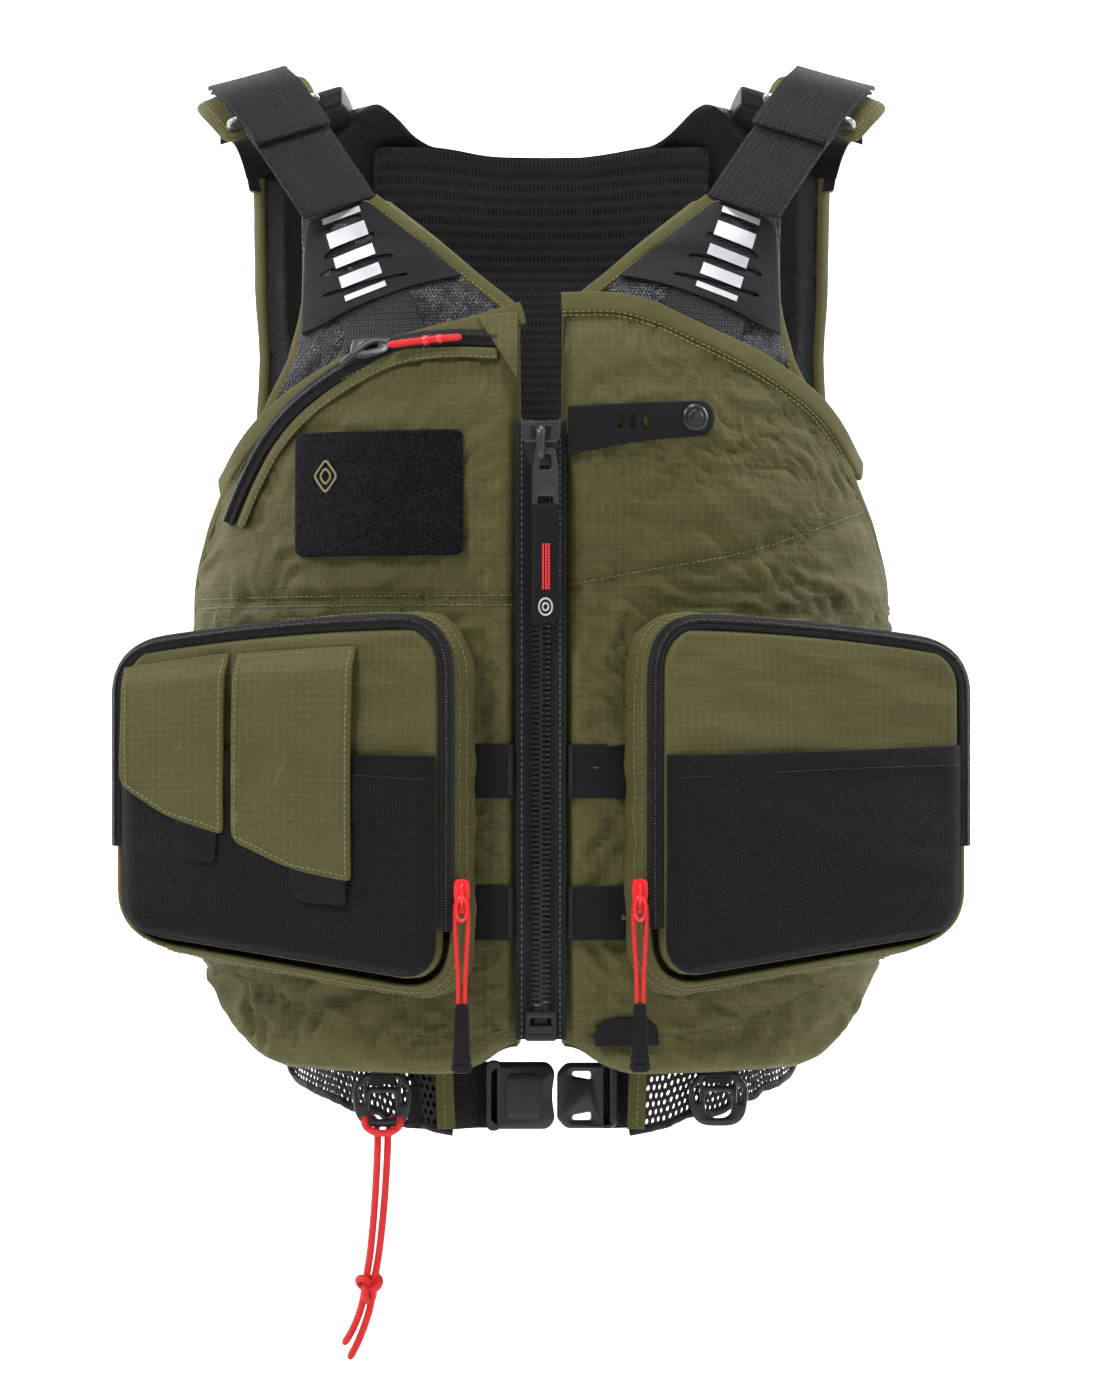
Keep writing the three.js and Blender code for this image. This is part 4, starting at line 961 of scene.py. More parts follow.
def cloth_lift(x, z):
    """How far the front cloth stands off its nominal face at (x, z)."""
    out = np.zeros(len(x))
    for side_name, side in SIDES:
        mine = x * side >= 0
        height = z[mine]
        turn = turn_at(np.abs(x[mine]), height)
        level = height - hem_rise(turn, smooth(-height, 470, 568))
        start = turn_at(PANEL_EDGE + np.maximum(0, level - NECK_BOTTOM) * NECK_SLOPE, level)
        r = np.clip((FRONT_TOP - level) / (FRONT_TOP - HEM), 0, 1)
        c = np.clip((turn - start) / (np.radians(armhole_turn(level)) - start), 0, 1)
        if mine.any():
            out[mine] = panel_relief(r, c, turn, height, side, side_name)
    return out


def panel_place(r, c):
    """Turn and height of a front panel's fractions down and across."""
    level = mix(FRONT_TOP, HEM, r)
    start = turn_at(PANEL_EDGE + np.maximum(0, level - NECK_BOTTOM) * NECK_SLOPE, level)
    turn = mix(start, np.radians(armhole_turn(level)), c)
    low = smooth(-level, 470, 568)
    z = level + hem_rise(turn, low)
    z = z + 16 * (1 - smooth(c, 0, 0.2)) ** 2 * smooth(-level, 535, 568)
    return turn, z, level


def panel_relief(r, c, turn, z, side, side_name):
    """How far a front panel's cloth stands off its nominal face: stuffing, seams and creases."""
    plan = np.stack([side * front_half(z) * np.sin(turn), z], -1)
    width = front_half(z) * (np.radians(armhole_turn(z)) - turn_at(PANEL_EDGE, z)) + 1
    near = edge_gap(r, c, width, FRONT_TOP - HEM)
    radius = np.where(c < 0.5, 7.0, 9.0) * smooth(z, -20, -170) + 3
    relief = -radius * rolled(near, radius) * 0.9
    seams = [(CHEST_SEAM[side_name], 2.0, 4.0), (mirrored(LOWER_SEAM, side), 2.2, 5.0),
             (TOP_HEM[side_name], 1.0, 7.0)]
    for line, depth, wide in seams:
        gap = away_from(plan, resample(line, 12))
        relief = relief - depth * np.exp(-(gap / wide) ** 2)
        relief = relief + 1.6 * (1 - np.exp(-(gap / 45) ** 2))
    depth = bpy.context.scene.vest_sizes.wrinkle_depth / MM
    spots = spots_at(plan[:, 0], z)
    folds = crumpled(spots, (75, 1, 17), 5.0 + side, 3, (70, 1, 70), 3.1, 14)
    low = smooth(-z, 250, 330)
    folds = np.abs(folds) ** 0.8 * np.sign(folds) * mix(0.75, 1.25, low)
    broad = wave(spots, (110, 1, 90), 9.0 + side, 2) * 1.6
    creased = crumpled(spots, (60, 1, 9), 13.0 + side, 2, (40, 1, 40), 7.7, 10)
    where = smooth(wave(spots, (55, 1, 45), 23.0 + side, 2), -0.1, 0.5)
    pinch = (1 - np.abs(np.clip(creased * 1.6, -1, 1))) ** 3 * where
    return relief - 4.4 + (depth * folds + broad - depth * 0.9 * pinch) * smooth(near, 0, 16)


def build_front_panels():
    rows, columns = ((165, 74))
    for side_name, side in SIDES:
        flip = np.array([side, 1, 1])

        def outer(r, c):
            turn, z, _ = panel_place(r, c)
            return on_front(turn, z, panel_relief(r, c, turn, z, side, side_name)) * flip

        def inside(share):
            def place(r, c):
                turn, z, level = panel_place(r, c)
                return on_front(turn, z, -panel_thick(level) * share) * flip
            return place

        def spread(r, c):
            turn, z, _ = panel_place(r, c)
            return np.stack([turn * 190 * side, z], -1)

        def zone(middle):
            return np.where(middle[:, 2] > hem_height(middle[:, 0], side_name), 2, 0)

        rings = [inside(0.3), inside(0.5), inside(0.75), inside(0.97)]
        panel = stuffed(rows, columns, outer, inside(1.0), rings, spread, 1, zone).piece(
            f"front_panel_{side_name}", finish("olive"), finish("nylon"), finish("heather"))
        settle(panel, f"front_{side_name}", "olive_fabric",
               f"front_cover_{side_name}", f"front_foam_{side_name}", f"front_lining_{side_name}")
        build_panel_trim(side_name, side)


def border(side, start, end, across, lift):
    """Points and outward directions along a panel's neck edge (across 0) or armhole (across 1)."""
    r = np.linspace(start, end, 90)
    turn, z, _ = panel_place(r, np.full_like(r, across))
    inset = (4.0 if across < 0.5 else -5.4) / front_half(z)
    points = on_front(turn + inset, z, lift)
    normals = front_normals(points)
    return points * (side, 1, 1), normals * (side, 1, 1)


def build_panel_trim(side_name, side):
    body = f"front_{side_name}"
    neck_end = (FRONT_TOP - NECK_BOTTOM + 4) / (FRONT_TOP - HEM)
    bindings, threads = Cutting(), Cutting()
    for start, end, across in ((0.0, neck_end, 0), (0.0, 0.62, 1)):
        points, normals = border(side, start, end, across, -1.6 if across < 0.5 else -3.4)
        swept(points, normals, oval(8.5, 4.6, 14, 2.4), bindings)
        turned_in = 1 if (across < 0.5) == (side > 0) else -1
        inward = np.cross(unit(np.gradient(points, axis=0)), normals) * turned_in
        stitched(points + inward * -3.1 + normals * 1.6, normals, threads)
    sew(bindings, f"edge_binding_{side_name}", "binding", body, "olive_fabric")
    path = resample(TOP_HEM[side_name], 3.0)
    tangent = unit(np.gradient(path, axis=0))
    down = np.stack([tangent[:, 1], -tangent[:, 0]], -1)
    down *= -np.sign(down[:, 1:2])
    low = path + down * 6.0
    sink = 0.6 + 4.0 * smooth(np.linspace(0, 1, len(low)), 0.9, 1.0)
    band = swept(*along_front(low, -sink), oval(13.5, 5.0, 16, 4.0))
    sew(band, f"chest_hem_{side_name}", "binding", body, "olive_fabric")
    for offset in ([11.2] if side_name == "right" else [11.2, 13.4]):
        line = path + down * offset
        front_stitches(line, threads, lift=1.6)
    for shift in (-2.6, 2.6) if side_name == "right" else (1.8,):
        front_stitches(np.array(CHEST_SEAM[side_name]) + (0, shift), threads, 0.8, True)
    sew(threads, f"panel_stitching_{side_name}", "thread", body, "olive_fabric")
    seam = front_stitches(mirrored(LOWER_SEAM, side) + (0, 3.4), None, 0.8, True)
    sew(seam, f"hem_stitching_{side_name}", "dark thread", body, "olive_fabric")


# ---- back, its lining and the shoulder pads -----------------------------------------------------
BACK_WIDE, BACK_ROLL = 380.0, 11.0           # width of the pad round the back, radius of its edges
QUILTING = (-150.0, -245.0)                  # heights of the quilted lines
LINING_LOW, SIDE_TURN = -556, math.radians(89.5)
PAD_WIDE, PAD_LONG = 68, 150                 # a shoulder pad laid flat


def neck_rise(x, r):
    """The back's neck edge stands a little above the foam inside it."""
    crown = (15 + 6 * smooth(np.abs(x), 20, 90)) * (1 - smooth(np.abs(x), 112, 150))
    return crown * np.clip(1 - r / 0.2, 0, 1) ** 1.3


def back_place(r, c):
    level = mix(BACK_TOP, BACK_BOTTOM, r)
    edge = np.radians(back_turn(level))
    turn = mix(-edge, edge, c)
    x = BACK_HALF * np.sin(turn)
    shoulder = smooth(np.abs(x), 74, 116) * (1 - smooth(np.abs(x), 150, 180))
    rise = 22 * shoulder * np.clip(1 - r / 0.14, 0, 1) ** 1.5
    rise = rise + neck_rise(x, r)
    return turn, level + rise, level


def build_back():
    rows, columns = ((100, 140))

    def relief(r, c, turn, z):
        near = edge_gap(r, c, BACK_WIDE, BACK_TOP - BACK_BOTTOM)
        out = -BACK_ROLL * rolled(near, BACK_ROLL)
        plan = np.stack([BACK_HALF * turn, z], -1)
        for line in (*(((-400, z), (400, z)) for z in QUILTING), ((0, QUILTING[0]), (0, -340))):
            gap = away_from(plan, line)
            out = out - 5.0 * np.exp(-(gap / 5.5) ** 2) + 1.2 * (1 - np.exp(-(gap / 30) ** 2))
        spots = spots_at(plan[:, 0], z)
        return out - 1.5 + wave(spots, (80, 1, 22), 17.0, 3) * 1.5 * smooth(near, 0, 14)

    def outer(r, c):
        turn, z, _ = back_place(r, c)
        return on_back(turn, z, relief(r, c, turn, z))

    def inside(share):
        def place(r, c):
            turn, z, _ = back_place(r, c)
            spots = spots_at(BACK_HALF * turn, z)
            crease = wave(spots, (26, 1, 60), 4.0, 3) * 1.8 if share == 1.0 else 0
            return on_back(turn, z, -BACK_THICK * share + crease)
        return place

    back = stuffed(rows, columns, outer, inside(1.0), [inside(0.3), inside(0.6), inside(0.9)],
                   lambda r, c: np.stack([BACK_HALF * back_place(r, c)[0], back_place(r, c)[1]],
                                         -1), 1, wall_slot=1).piece(
        "back_panel", finish("olive"), finish("nylon"))
    settle(back, "back", "olive_fabric", "back_cover", "back_foam")
    trim, threads = Cutting(), Cutting()
    for c in (0.0, 1.0):
        r = np.linspace(0.0, 1.0, 120)
        turn, z, _ = back_place(r, np.full_like(r, c))
        points = on_back(turn - np.sign(c - 0.5) * 0.004, z, -8)
        outward = unit(points - on_back(turn - np.sign(c - 0.5) * 0.2, z, -8))
        swept(points, outward, oval(9, 4.6, 14, 2.6), trim)
    for level in QUILTING:
        c = np.linspace(0.03, 0.97, 200)
        z = np.full_like(c, level)
        turn = mix(-1, 1, c) * np.radians(back_turn(z))
        out = relief((BACK_TOP - z) / (BACK_TOP - BACK_BOTTOM), c, turn, z) + 0.3
        stitched(on_back(turn, z, out), unit(on_back(turn, z, 5) - on_back(turn, z, 0)), threads)
    sew(trim, "back_binding", "binding", "back", "olive_fabric")
    sew(threads, "back_stitching", "thread", "back", "olive_fabric")
    build_back_lining()
    build_side_gussets()


def build_side_gussets():
    """Stretch nylon strips that join the front panels to the mesh round the waist."""
    rows, columns, middle = 59, 8, 30
    for side_name, side in SIDES:
        z = np.linspace(-338, -548, rows + 1)
        front = on_front(np.full(rows + 1, math.radians(82)), z, -33)
        behind = on_back(np.full(rows + 1, math.radians(86)), z, -BACK_THICK - 5)
        across = np.linspace(0, 1, columns + 1)[:, None, None]
        sheet = mix(front, behind, across)
        ripple = wave(sheet.reshape(-1, 3), (30, 30, 14), 91.0 + side, 2).reshape(sheet.shape[:2])
        sheet[..., 0] += ripple * 1.6 * np.sin(math.pi * across[..., 0])
        flip = np.array([side, 1, 1])

        def layer(inset):
            def at(r, c):
                row, column = np.rint(r * rows).astype(int), np.rint(c * columns).astype(int)
                return (sheet[column, row] - (inset, 0, 0)) * flip
            return at

        strip = stuffed(rows, columns, layer(0), layer(2.0), [], lambda r,
                        c: np.stack([c * 30, r * 210], -1), 0).piece(
            f"side_gusset_{side_name}", finish("nylon"))
        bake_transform(strip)


def build_back_lining():
    """The spacer mesh inside the back and, under the pad, round the waist."""
    rows, columns = ((130, 110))

    def place(depth):
        def at(r, c):
            z = mix(BACK_TOP - 2, LINING_LOW, r)
            crown = neck_rise(200 * 0.6 * mix(-1, 1, c), 1.8 * r)
            edge = np.where(z < BACK_BOTTOM, SIDE_TURN, np.minimum(np.radians(back_turn(z)), 0.62))
            edge = mix(edge, SIDE_TURN, smooth(-z, 316, 340))
            turn = edge * mix(-1, 1, c)
            spots = spots_at(200 * turn, z)
            ripple = wave(spots, (60, 1, 45), 31.0, 3) * 2.2
            swell = 3.0 * np.cos(np.clip(turn / 0.62, -1, 1) * math.pi
                                 / 2) * (1 - smooth(-z, 300, 340))
            return on_back(turn, z + crown, -BACK_THICK - 3.2 - swell - depth - ripple * 0.5)
        return at

    lining = stuffed(rows, columns, place(0), place(2.2), [], lambda r, c: np.stack(
        [190 * mix(-1.5, 1.5, c), mix(BACK_TOP, LINING_LOW, r)], -1),
                     0).piece("back_lining", finish("spacer"))
    settle(lining, "back", "black_mesh", "back_mesh")


def build_shoulders():
    for side_name, side in SIDES:
        flip = np.array([side, 1, 1])
        rows, columns = ((60, 40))

        def pad(sink):
            def at(r, c):
                x = mix(mix(102, 119, r), mix(176, 191, r), c)
                angle = np.radians(mix(-14, 96, r))
                foot = (back_face(BACK_TOP) * np.sqrt(1 - (x / BACK_HALF) ** 2))
                near = edge_gap(r, c, PAD_WIDE, PAD_LONG)
                crown = 4 * np.sqrt(np.clip(near / 14, 0, 1)) - 1.4
                wrinkle = wave(np.stack([x, r * PAD_LONG, np.zeros(len(r))], -1), (60, 13, 1),
                               7 + side, 3) * 1.6
                lift = (crown + wrinkle * smooth(near, 0, 10)) * np.cos(math.pi * sink / 26)
                reach = foot - 4
                y = foot - sink + lift * np.cos(angle) - (reach - sink) * (1 - np.cos(angle * 0.92))
                rise = (7 - BACK_TOP - sink + lift * 0.6) * np.sin(angle * 0.92)
                z = BACK_TOP + np.maximum(0, rise) - 24 * c * r * np.minimum(1, r * 1.2)
                return np.stack([x, y, z - 8 * (1 - smooth(r, 0, 0.12))], -1) * flip
            return at

        piece = stuffed(rows, columns, pad(0), pad(12), [pad(3), pad(6), pad(9)],
                        lambda r, c: np.stack([c * PAD_WIDE, r * PAD_LONG], -1),
                        0).piece(f"shoulder_pad_fabric_{side_name}", finish("nylon"))
        settle(piece, "back", "black_nylon", f"shoulder_pad_{side_name}")


# ---- cargo pockets ------------------------------------------------------------------------------
def pocket_top(u):
    return -312 - 17 * (u / POCKET_LONG) ** 2


def pocket_bottom(u):
    return -522 + 28 * (u / POCKET_LONG)


def in_pocket(u, v, d):
    """A point on a pocket: u out from its inner edge, v down from its top, d outwards."""
    u, v, d = np.broadcast_arrays(*(np.asarray(each, float) for each in (u, v, d)))
    z = mix(pocket_top(u), pocket_bottom(u), v / POCKET_HIGH)
    flat = np.array([POCKET_START, -POCKET_REACH, 0]) + u[..., None] * POCKET_ACROSS
    flat = flat + d[..., None] * POCKET_OUT
    return np.concatenate([flat[..., :2], z[..., None]], -1)


def on_panel(u, v, gap):
    """The same line followed back along the pocket's depth until it meets the panel."""
    start = in_pocket(u, v, 0)
    a, b = 1 / (front_half(start[:, 2]) + gap) ** 2, 1 / (front_face(start[:, 2]) + gap) ** 2
    qa = a * POCKET_OUT[0] ** 2 + b * POCKET_OUT[1] ** 2
    qb = -2 * (a * start[:, 0] * POCKET_OUT[0] + b * start[:, 1] * POCKET_OUT[1])
    qc = a * start[:, 0] ** 2 + b * start[:, 1] ** 2 - 1
    back = (-qb - np.sqrt(np.maximum(0, qb * qb - 4 * qa * qc))) / (2 * qa)
    return start - back[:, None] * POCKET_OUT


def door_crown(u, v):
    """How far the stuffed door stands out in its middle."""
    a, b = np.clip(u / POCKET_LONG, 0, 1) * 2 - 1, np.clip(v / POCKET_HIGH, 0, 1) * 2 - 1
    return 5.5 * np.clip(1 - np.abs(a) ** 2.6, 0, 1) * np.clip(1 - np.abs(b) ** 2.6, 0, 1)


def rounded_rows(r, c, first, margin, last=POCKET_LONG, top=0.0, bottom=POCKET_HIGH,
                 round_top=True):
    """Row and column fractions spread over a rectangle with round corners, as u and v."""
    radius = POCKET_CORNER - margin
    r = r - np.sin(2 * math.pi * r) * 0.045
    v = mix(top + margin, bottom - margin, r)
    near = np.minimum(v - top - margin, bottom - margin - v) if round_top else bottom - margin - v
    missing = radius - np.sqrt(np.clip(radius ** 2 - np.clip(radius - near, 0, radius) ** 2, 0,
                                       None))
    return mix(first + margin + missing, last - margin - missing, c), v


def pocket_loop(first, margin, spacing=3.0):
    """The outline of a pocket's face, all the way round, as u and v."""
    low, high = first + margin, POCKET_LONG - margin
    corners = [(low, margin), (high, margin), (high, POCKET_HIGH - margin),
               (low, POCKET_HIGH - margin)]
    loop = smooth_loop(corners, (POCKET_CORNER - margin) * 1.25, 9)
    loop = resample(np.vstack([loop, loop[:1]]), spacing, curved=False)[:-1]
    return loop


def closed_tube(rings, name, finish_name, cloth_step=2.0):
    """Closes a stack of loops, each [loops, points, 3], both ways into one ring-shaped form."""
    rings = np.asarray(rings, float)
    loops, count = rings.shape[:2]
    ids = np.arange(loops * count).reshape(loops, count)
    right, below = np.roll(ids, -1, 1), np.roll(ids, -1, 0)
    corner = np.roll(right, -1, 0)
    faces = np.stack([ids, right, corner, below], -1).reshape(-1, 4)
    k, i = np.meshgrid(np.arange(loops), np.arange(count), indexing="ij")
    deep = np.linalg.norm(np.diff(rings, axis=0), axis=2).mean(1)
    deep = np.concatenate([[0], np.cumsum(deep), [deep.sum() + 4]])
    cloth = np.stack([np.stack([i, deep[k]], -1), np.stack([i + 1, deep[k]], -1),
                      np.stack([i + 1, deep[k + 1]], -1), np.stack([i, deep[k + 1]], -1)],
                     2).astype(float)
    cloth[..., 0] *= cloth_step
    return Cutting().add(rings.reshape(-1, 3), faces, cloth.reshape(-1, 4, 2)
                         * MM).piece(name, finish(finish_name))


def build_gusset(side_name, side):
    first = POCKET_FIRST[side_name]
    spacing = 3.0
    loop = pocket_loop(first, 0, spacing)
    forward = unit(np.roll(loop, -1, 0) - np.roll(loop, 1, 0))
    outward = np.stack([forward[:, 1], -forward[:, 0]], -1)
    centre = np.array([first + POCKET_LONG, POCKET_HIGH]) / 2
    if ((loop[0] - centre) @ outward[0]) < 0:
        outward = -outward
    lean = outward[:, :1] * POCKET_ACROSS + outward[:, 1:] * np.array([0, 0, -0.95])
    belly = 3.0 + 4.0 * np.clip(-outward[:, 0], 0, 1) + 3.0 * np.clip(outward[:, 1], 0, 1)
    start = on_panel(5 + 0.8 * loop[:, 0], loop[:, 1], -2)
    end = in_pocket(loop[:, 0], loop[:, 1], -DOOR_DEEP - SEWN)

    def wall(t, inset):
        place = mix(start, end, t)
        pucker = wave(place, (16, 16, 16), 21.0 + side, 2)[:, None] * 2.0 * math.sin(math.pi * t)
        stand = (belly[:, None] * math.sin(math.pi * t) ** 0.8 + pucker - inset)
        return (place + lean * stand) * (side, 1, 1)

    depths = np.linspace(0, 1, 15)
    rings = [wall(t, 0) for t in depths] + [wall(t, 2.4) for t in depths[::-1]]
    tub = closed_tube(rings, f"pocket_gusset_{side_name}", "olive", spacing)
    settle(tub, f"front_{side_name}", "olive_fabric", f"pocket_tub_{side_name}")
    threads = Cutting()
    for t in (0.78, 0.93):
        ring = wall(t, -0.4)
        stitched(ring, lean * (side, 1, 1), threads)
    sew(threads, f"gusset_stitching_{side_name}", "thread", f"front_{side_name}", "olive_fabric")


def zip_route(first, margin, low_inner=170.0, low_outer=140.0):
    """The pocket zip's line as u and v: up the inner side, over the top, down the outer side."""
    high, radius = POCKET_LONG - margin, (POCKET_CORNER - margin) * 1.2
    corners = [(first + margin, low_inner), (first + margin, margin), (high, margin),
               (high, low_outer)]
    route = [np.array(corners[0])]
    for before, here, after in zip(corners, corners[1:], corners[2:]):
        before, here, after = map(np.array, (before, here, after))
        a, b = here + unit(before - here) * radius, here + unit(after - here) * radius
        route += [soft_corner(a, here, b, t) for t in np.linspace(0, 1, 10)]
    route.append(np.array(corners[-1]))
    return resample(route, 2.5, curved=False)


def build_pocket_zip(side_name, side):
    first = POCKET_FIRST[side_name]
    route = zip_route(first, 2.6)
    points = in_pocket(route[:, 0], route[:, 1], -4.3)
    middle = in_pocket((first + POCKET_LONG) / 2, 110, -60)
    normals = unit(unit(points - middle) * 0.55 + POCKET_OUT)
    flip = (side, 1, 1)
    band = swept(points * flip, normals * flip, oval(9.0, 4.6, 14, 3.0))
    swept((points + normals * 1.9) * flip, normals * flip, oval(3.4, 1.6, 8, 2.0), band)
    coil = stitched((points + normals * 2.3) * flip, normals * flip, None, pitch=1.5, length=0.95,
                    width=2.3)
    body = f"front_{side_name}"
    sew(band, f"pocket_zip_band_{side_name}", "tape", body, "black_nylon",
        f"pocket_zip_{side_name}")
    sew(coil, f"pocket_zip_coil_{side_name}", "teeth", body, "black_plastic")


def build_door(side_name, side):
    first, body, flip = POCKET_FIRST[side_name], f"door_{side_name}", np.array([side, 1, 1])
    rows, columns = ((70, 70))
    margin = ZIP_BAND + 0.6

    def front(r, c):
        u, v = rounded_rows(r, c, first, margin)
        near = edge_gap(r, c, DOOR_SPAN, DOOR_SPAN)
        spots = spots_at(u, v)
        crease = wave(spots, (60, 1, 20), 41.0 + side, 3) * 1.7 * smooth(near, 0, 14) - 0.5
        d = door_crown(u, v) - 5 * rolled(near, 6) + crease - 0.6
        return in_pocket(u, v, d) * flip

    def behind(depth):
        def place(r, c):
            u, v = rounded_rows(r, c, first, margin)
            return in_pocket(u, v, depth) * flip
        return place

    door = stuffed(rows, columns, front, behind(-8), [behind(-6.5)], lambda r, c: np.stack(
        rounded_rows(r, c, first, margin), -1), 1).piece(f"pocket_front_{side_name}",
                                                         finish("olive"), finish("nylon"))
    settle(door, body, "olive_fabric", f"pocket_door_{side_name}")

    def knit(lift):
        def place(r, c):
            u, v = rounded_rows(r, c, first, margin + 1.2, top=76 - margin - 1.2, round_top=False)
            v = v - 7 * (1 - r) * (u / POCKET_LONG) ** 2 + 2.0 * (1 - r) * np.sin(c * math.pi)
            near = np.minimum(c, 1 - c) * 190
            spots = spots_at(u, v)
            droop = wave(spots, (75, 1, 24), 51.0 + side, 2) * 1.3 * smooth(near, 0, 20) + 0.3
            tight = -3.4 * (1 - smooth(np.minimum(near, (1 - r) * 120), 0, 7))
            return in_pocket(u, v, door_crown(u, v) + lift + droop + tight + 0.9) * flip
        return place

    pouch = stuffed(rows, columns, knit(2.0), knit(0.2), [], lambda r, c: np.stack(
        [v * 200 for v in (c, -r)], -1), 0).piece(f"knit_pouch_{side_name}", finish("stretch"))
    settle(pouch, body, "black_mesh", f"stretch_pocket_{side_name}")
    u = np.linspace(first + margin + 5, POCKET_LONG - margin - 4, 120)
    v = 76 + 13 - 6.2 * (u / POCKET_LONG) ** 2
    line = in_pocket(u, v, door_crown(u, v) + 2.9)
    seam = stitched(line * flip, np.broadcast_to(POCKET_OUT * flip, line.shape), None, pitch=2.2,
                    length=1.5, width=0.5)
    sew(seam, f"pouch_stitching_{side_name}", "black thread", body, "black_mesh")


FLAPS = {"outer": dict(outline=[(135, 14.8, 1), (201, 16, 1), (202, 97, 9), (170, 119, 30),
                                (135, 128, 6)], tab=[(138, 112, 1), (165, 108, 1), (165, 140, 5),
                                                     (159, 146, 4), (140, 145, 4)],
                       seam=[(137.6, 18), (137.6, 124), (170, 115), (197, 97), (198.5, 18)]),
         "inner": dict(outline=[(57, 16, 1), (130, 16, 1), (130, 131, 7), (92, 146, 30),
                                (57, 149, 5)], tab=[(60, 138, 1), (96, 134, 1), (93, 158, 5),
                                                    (87, 163, 3), (60, 163, 3)],
                       seam=[(59.7, 18), (59.7, 145.6), (92, 142.4), (127.3, 128), (127.3, 18)]),}


def build_flaps():
    flip = np.array([-1, 1, 1])
    for name, plan in FLAPS.items():
        body = f"flap_{name}"

        def face(u, v, h):
            spots = spots_at(u, v)
            drape = wave(spots, (34, 1, 50), 61.0 + len(name), 2) * 1.0 * smooth(v, 20, 70)
            free = smooth(v, 15, 31)
            return in_pocket(u, v, mix(2.7, door_crown(u, v) + 4.9 + drape, free) + h
                             * mix(0.5, 1, free)) * flip

        cloth = plate(f"tool_flap_{name}_cloth", smooth_loop(plan["outline"], 3), 2.8,
                      finish("olive"), bevel=1.1,
                      place=lambda p: face(p[:, 0], p[:, 1], p[:, 2] - 1.4), finest=5.0, sharp=60)
        settle(cloth, body, "olive_fabric", f"tool_flap_{name}")
        seam = resample(plan["seam"], 2.0, curved=False)
        threads = stitched(face(seam[:, 0], seam[:, 1], np.full(len(seam), 1.35)),
                           np.broadcast_to(POCKET_OUT * flip, (len(seam), 3)))
        sew(threads, f"flap_{name}_stitching", "thread", body, "olive_fabric")
        tab = plate(f"flap_{name}_tab", smooth_loop(plan["tab"], 3), 1.6, finish("rubber"),
                    bevel=0.4, place=lambda p: face(p[:, 0], p[:, 1], p[:, 2] - 0.5), finest=8.0)
        settle(tab, body, "rubber")


def box_middle(node):
    """The middle and the size of a frame solid's box, in millimetres."""
    low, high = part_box(node)
    return (np.array(low) + np.array(high)) / 2 / MM, (np.array(high) - np.array(low)) / MM


def lathe(points, turns=20):
    """Turns a list of (radius, height) pairs about the height axis; the ends close on it."""
    points = np.asarray(points, float)
    angle = np.arange(turns) / turns * 2 * np.pi
    rings = np.stack([np.outer(points[:, 0], np.cos(angle)), np.outer(points[:, 0], np.sin(angle)),
                      np.repeat(points[:, 1:], turns, 1)], -1)
    ids, faces = tube_faces(len(points), turns)
    return rings.reshape(-1, 3), faces, (ids[0][::-1], ids[-1])


def turned(name, points, finish_name, place, turns=20, sharp=40):
    rings, faces, ends = lathe(points, turns)
    made = Cutting().add(place(rings), faces)
    for end in ends:
        made.faces.append(np.array([end]))
        made.cloth.append(place(rings)[end][:, :2] * MM)
        made.slots.append(np.array([0]))
    return made.piece(name, finish(finish_name), sharp=sharp)


def tube(route, diameter, sides=12, spacing=1.2, normal=(0, -1, 0.02), into=None, ends=True):
    """A round cord along a route, its ends rounded."""
    path = resample(route, spacing)
    normals = np.broadcast_to(np.array(normal, float), path.shape)
    size = np.ones(len(path))
    if ends:
        for k, share in enumerate((0.45, 0.85)):
            size[k] = size[-1 - k] = share
    return swept(path, normals, oval(diameter, diameter, sides, 2.0), into, taper=size), path


def build_pocket_sliders():
    for side_name, _ in SIDES:
        (x, y, z), size = box_middle(f"pocket_slider_{side_name}")
        face = y - size[1] / 2

        def place(p):
            return np.stack([x + p[:, 0], face + 2.6 - p[:, 2], z + p[:, 1]], -1)

        base = plate(f"slider_base_{side_name}", smooth_loop(
            [(-4.1, 9.5, 3), (4.1, 9.5, 3), (4.6, 2, 3), (3.2, -9.5, 2), (-3.2, -9.5, 2),
             (-4.6, 2, 3)], 2, 6), 2.4,
            finish("red plastic"), bevel=0.8, place=place)
        bridge, _ = tube([(x, face + 2, z + 7.5), (x, face - 1.6, z + 5.5), (x, face - 2.2, z + 1),
                          (x, face - 1.2, z - 3.4),
                          (x, face + 1.6, z - 5)], 2.6, 10, 0.8, (1, 0, 0))
        loop_path = [(x + 3.1 * math.sin(a), face - 2.4 - 0.8 * (1 - math.cos(a)) / 2,
                      z - 6.5 + 6.5 * math.cos(a)) for a in np.linspace(0.0, 2 * math.pi, 28)]
        swept(loop_path, np.broadcast_to([0, -1.0, 0.05], (28, 3)), oval(1.9, 1.9, 8, 2.0), bridge)
        body = f"pocket_slider_{side_name}"
        settle(base, body, "red_plastic", body)
        sew(bridge, f"slider_bridge_{side_name}", "red plastic", body, "red_plastic")
        build_grip(side_name)


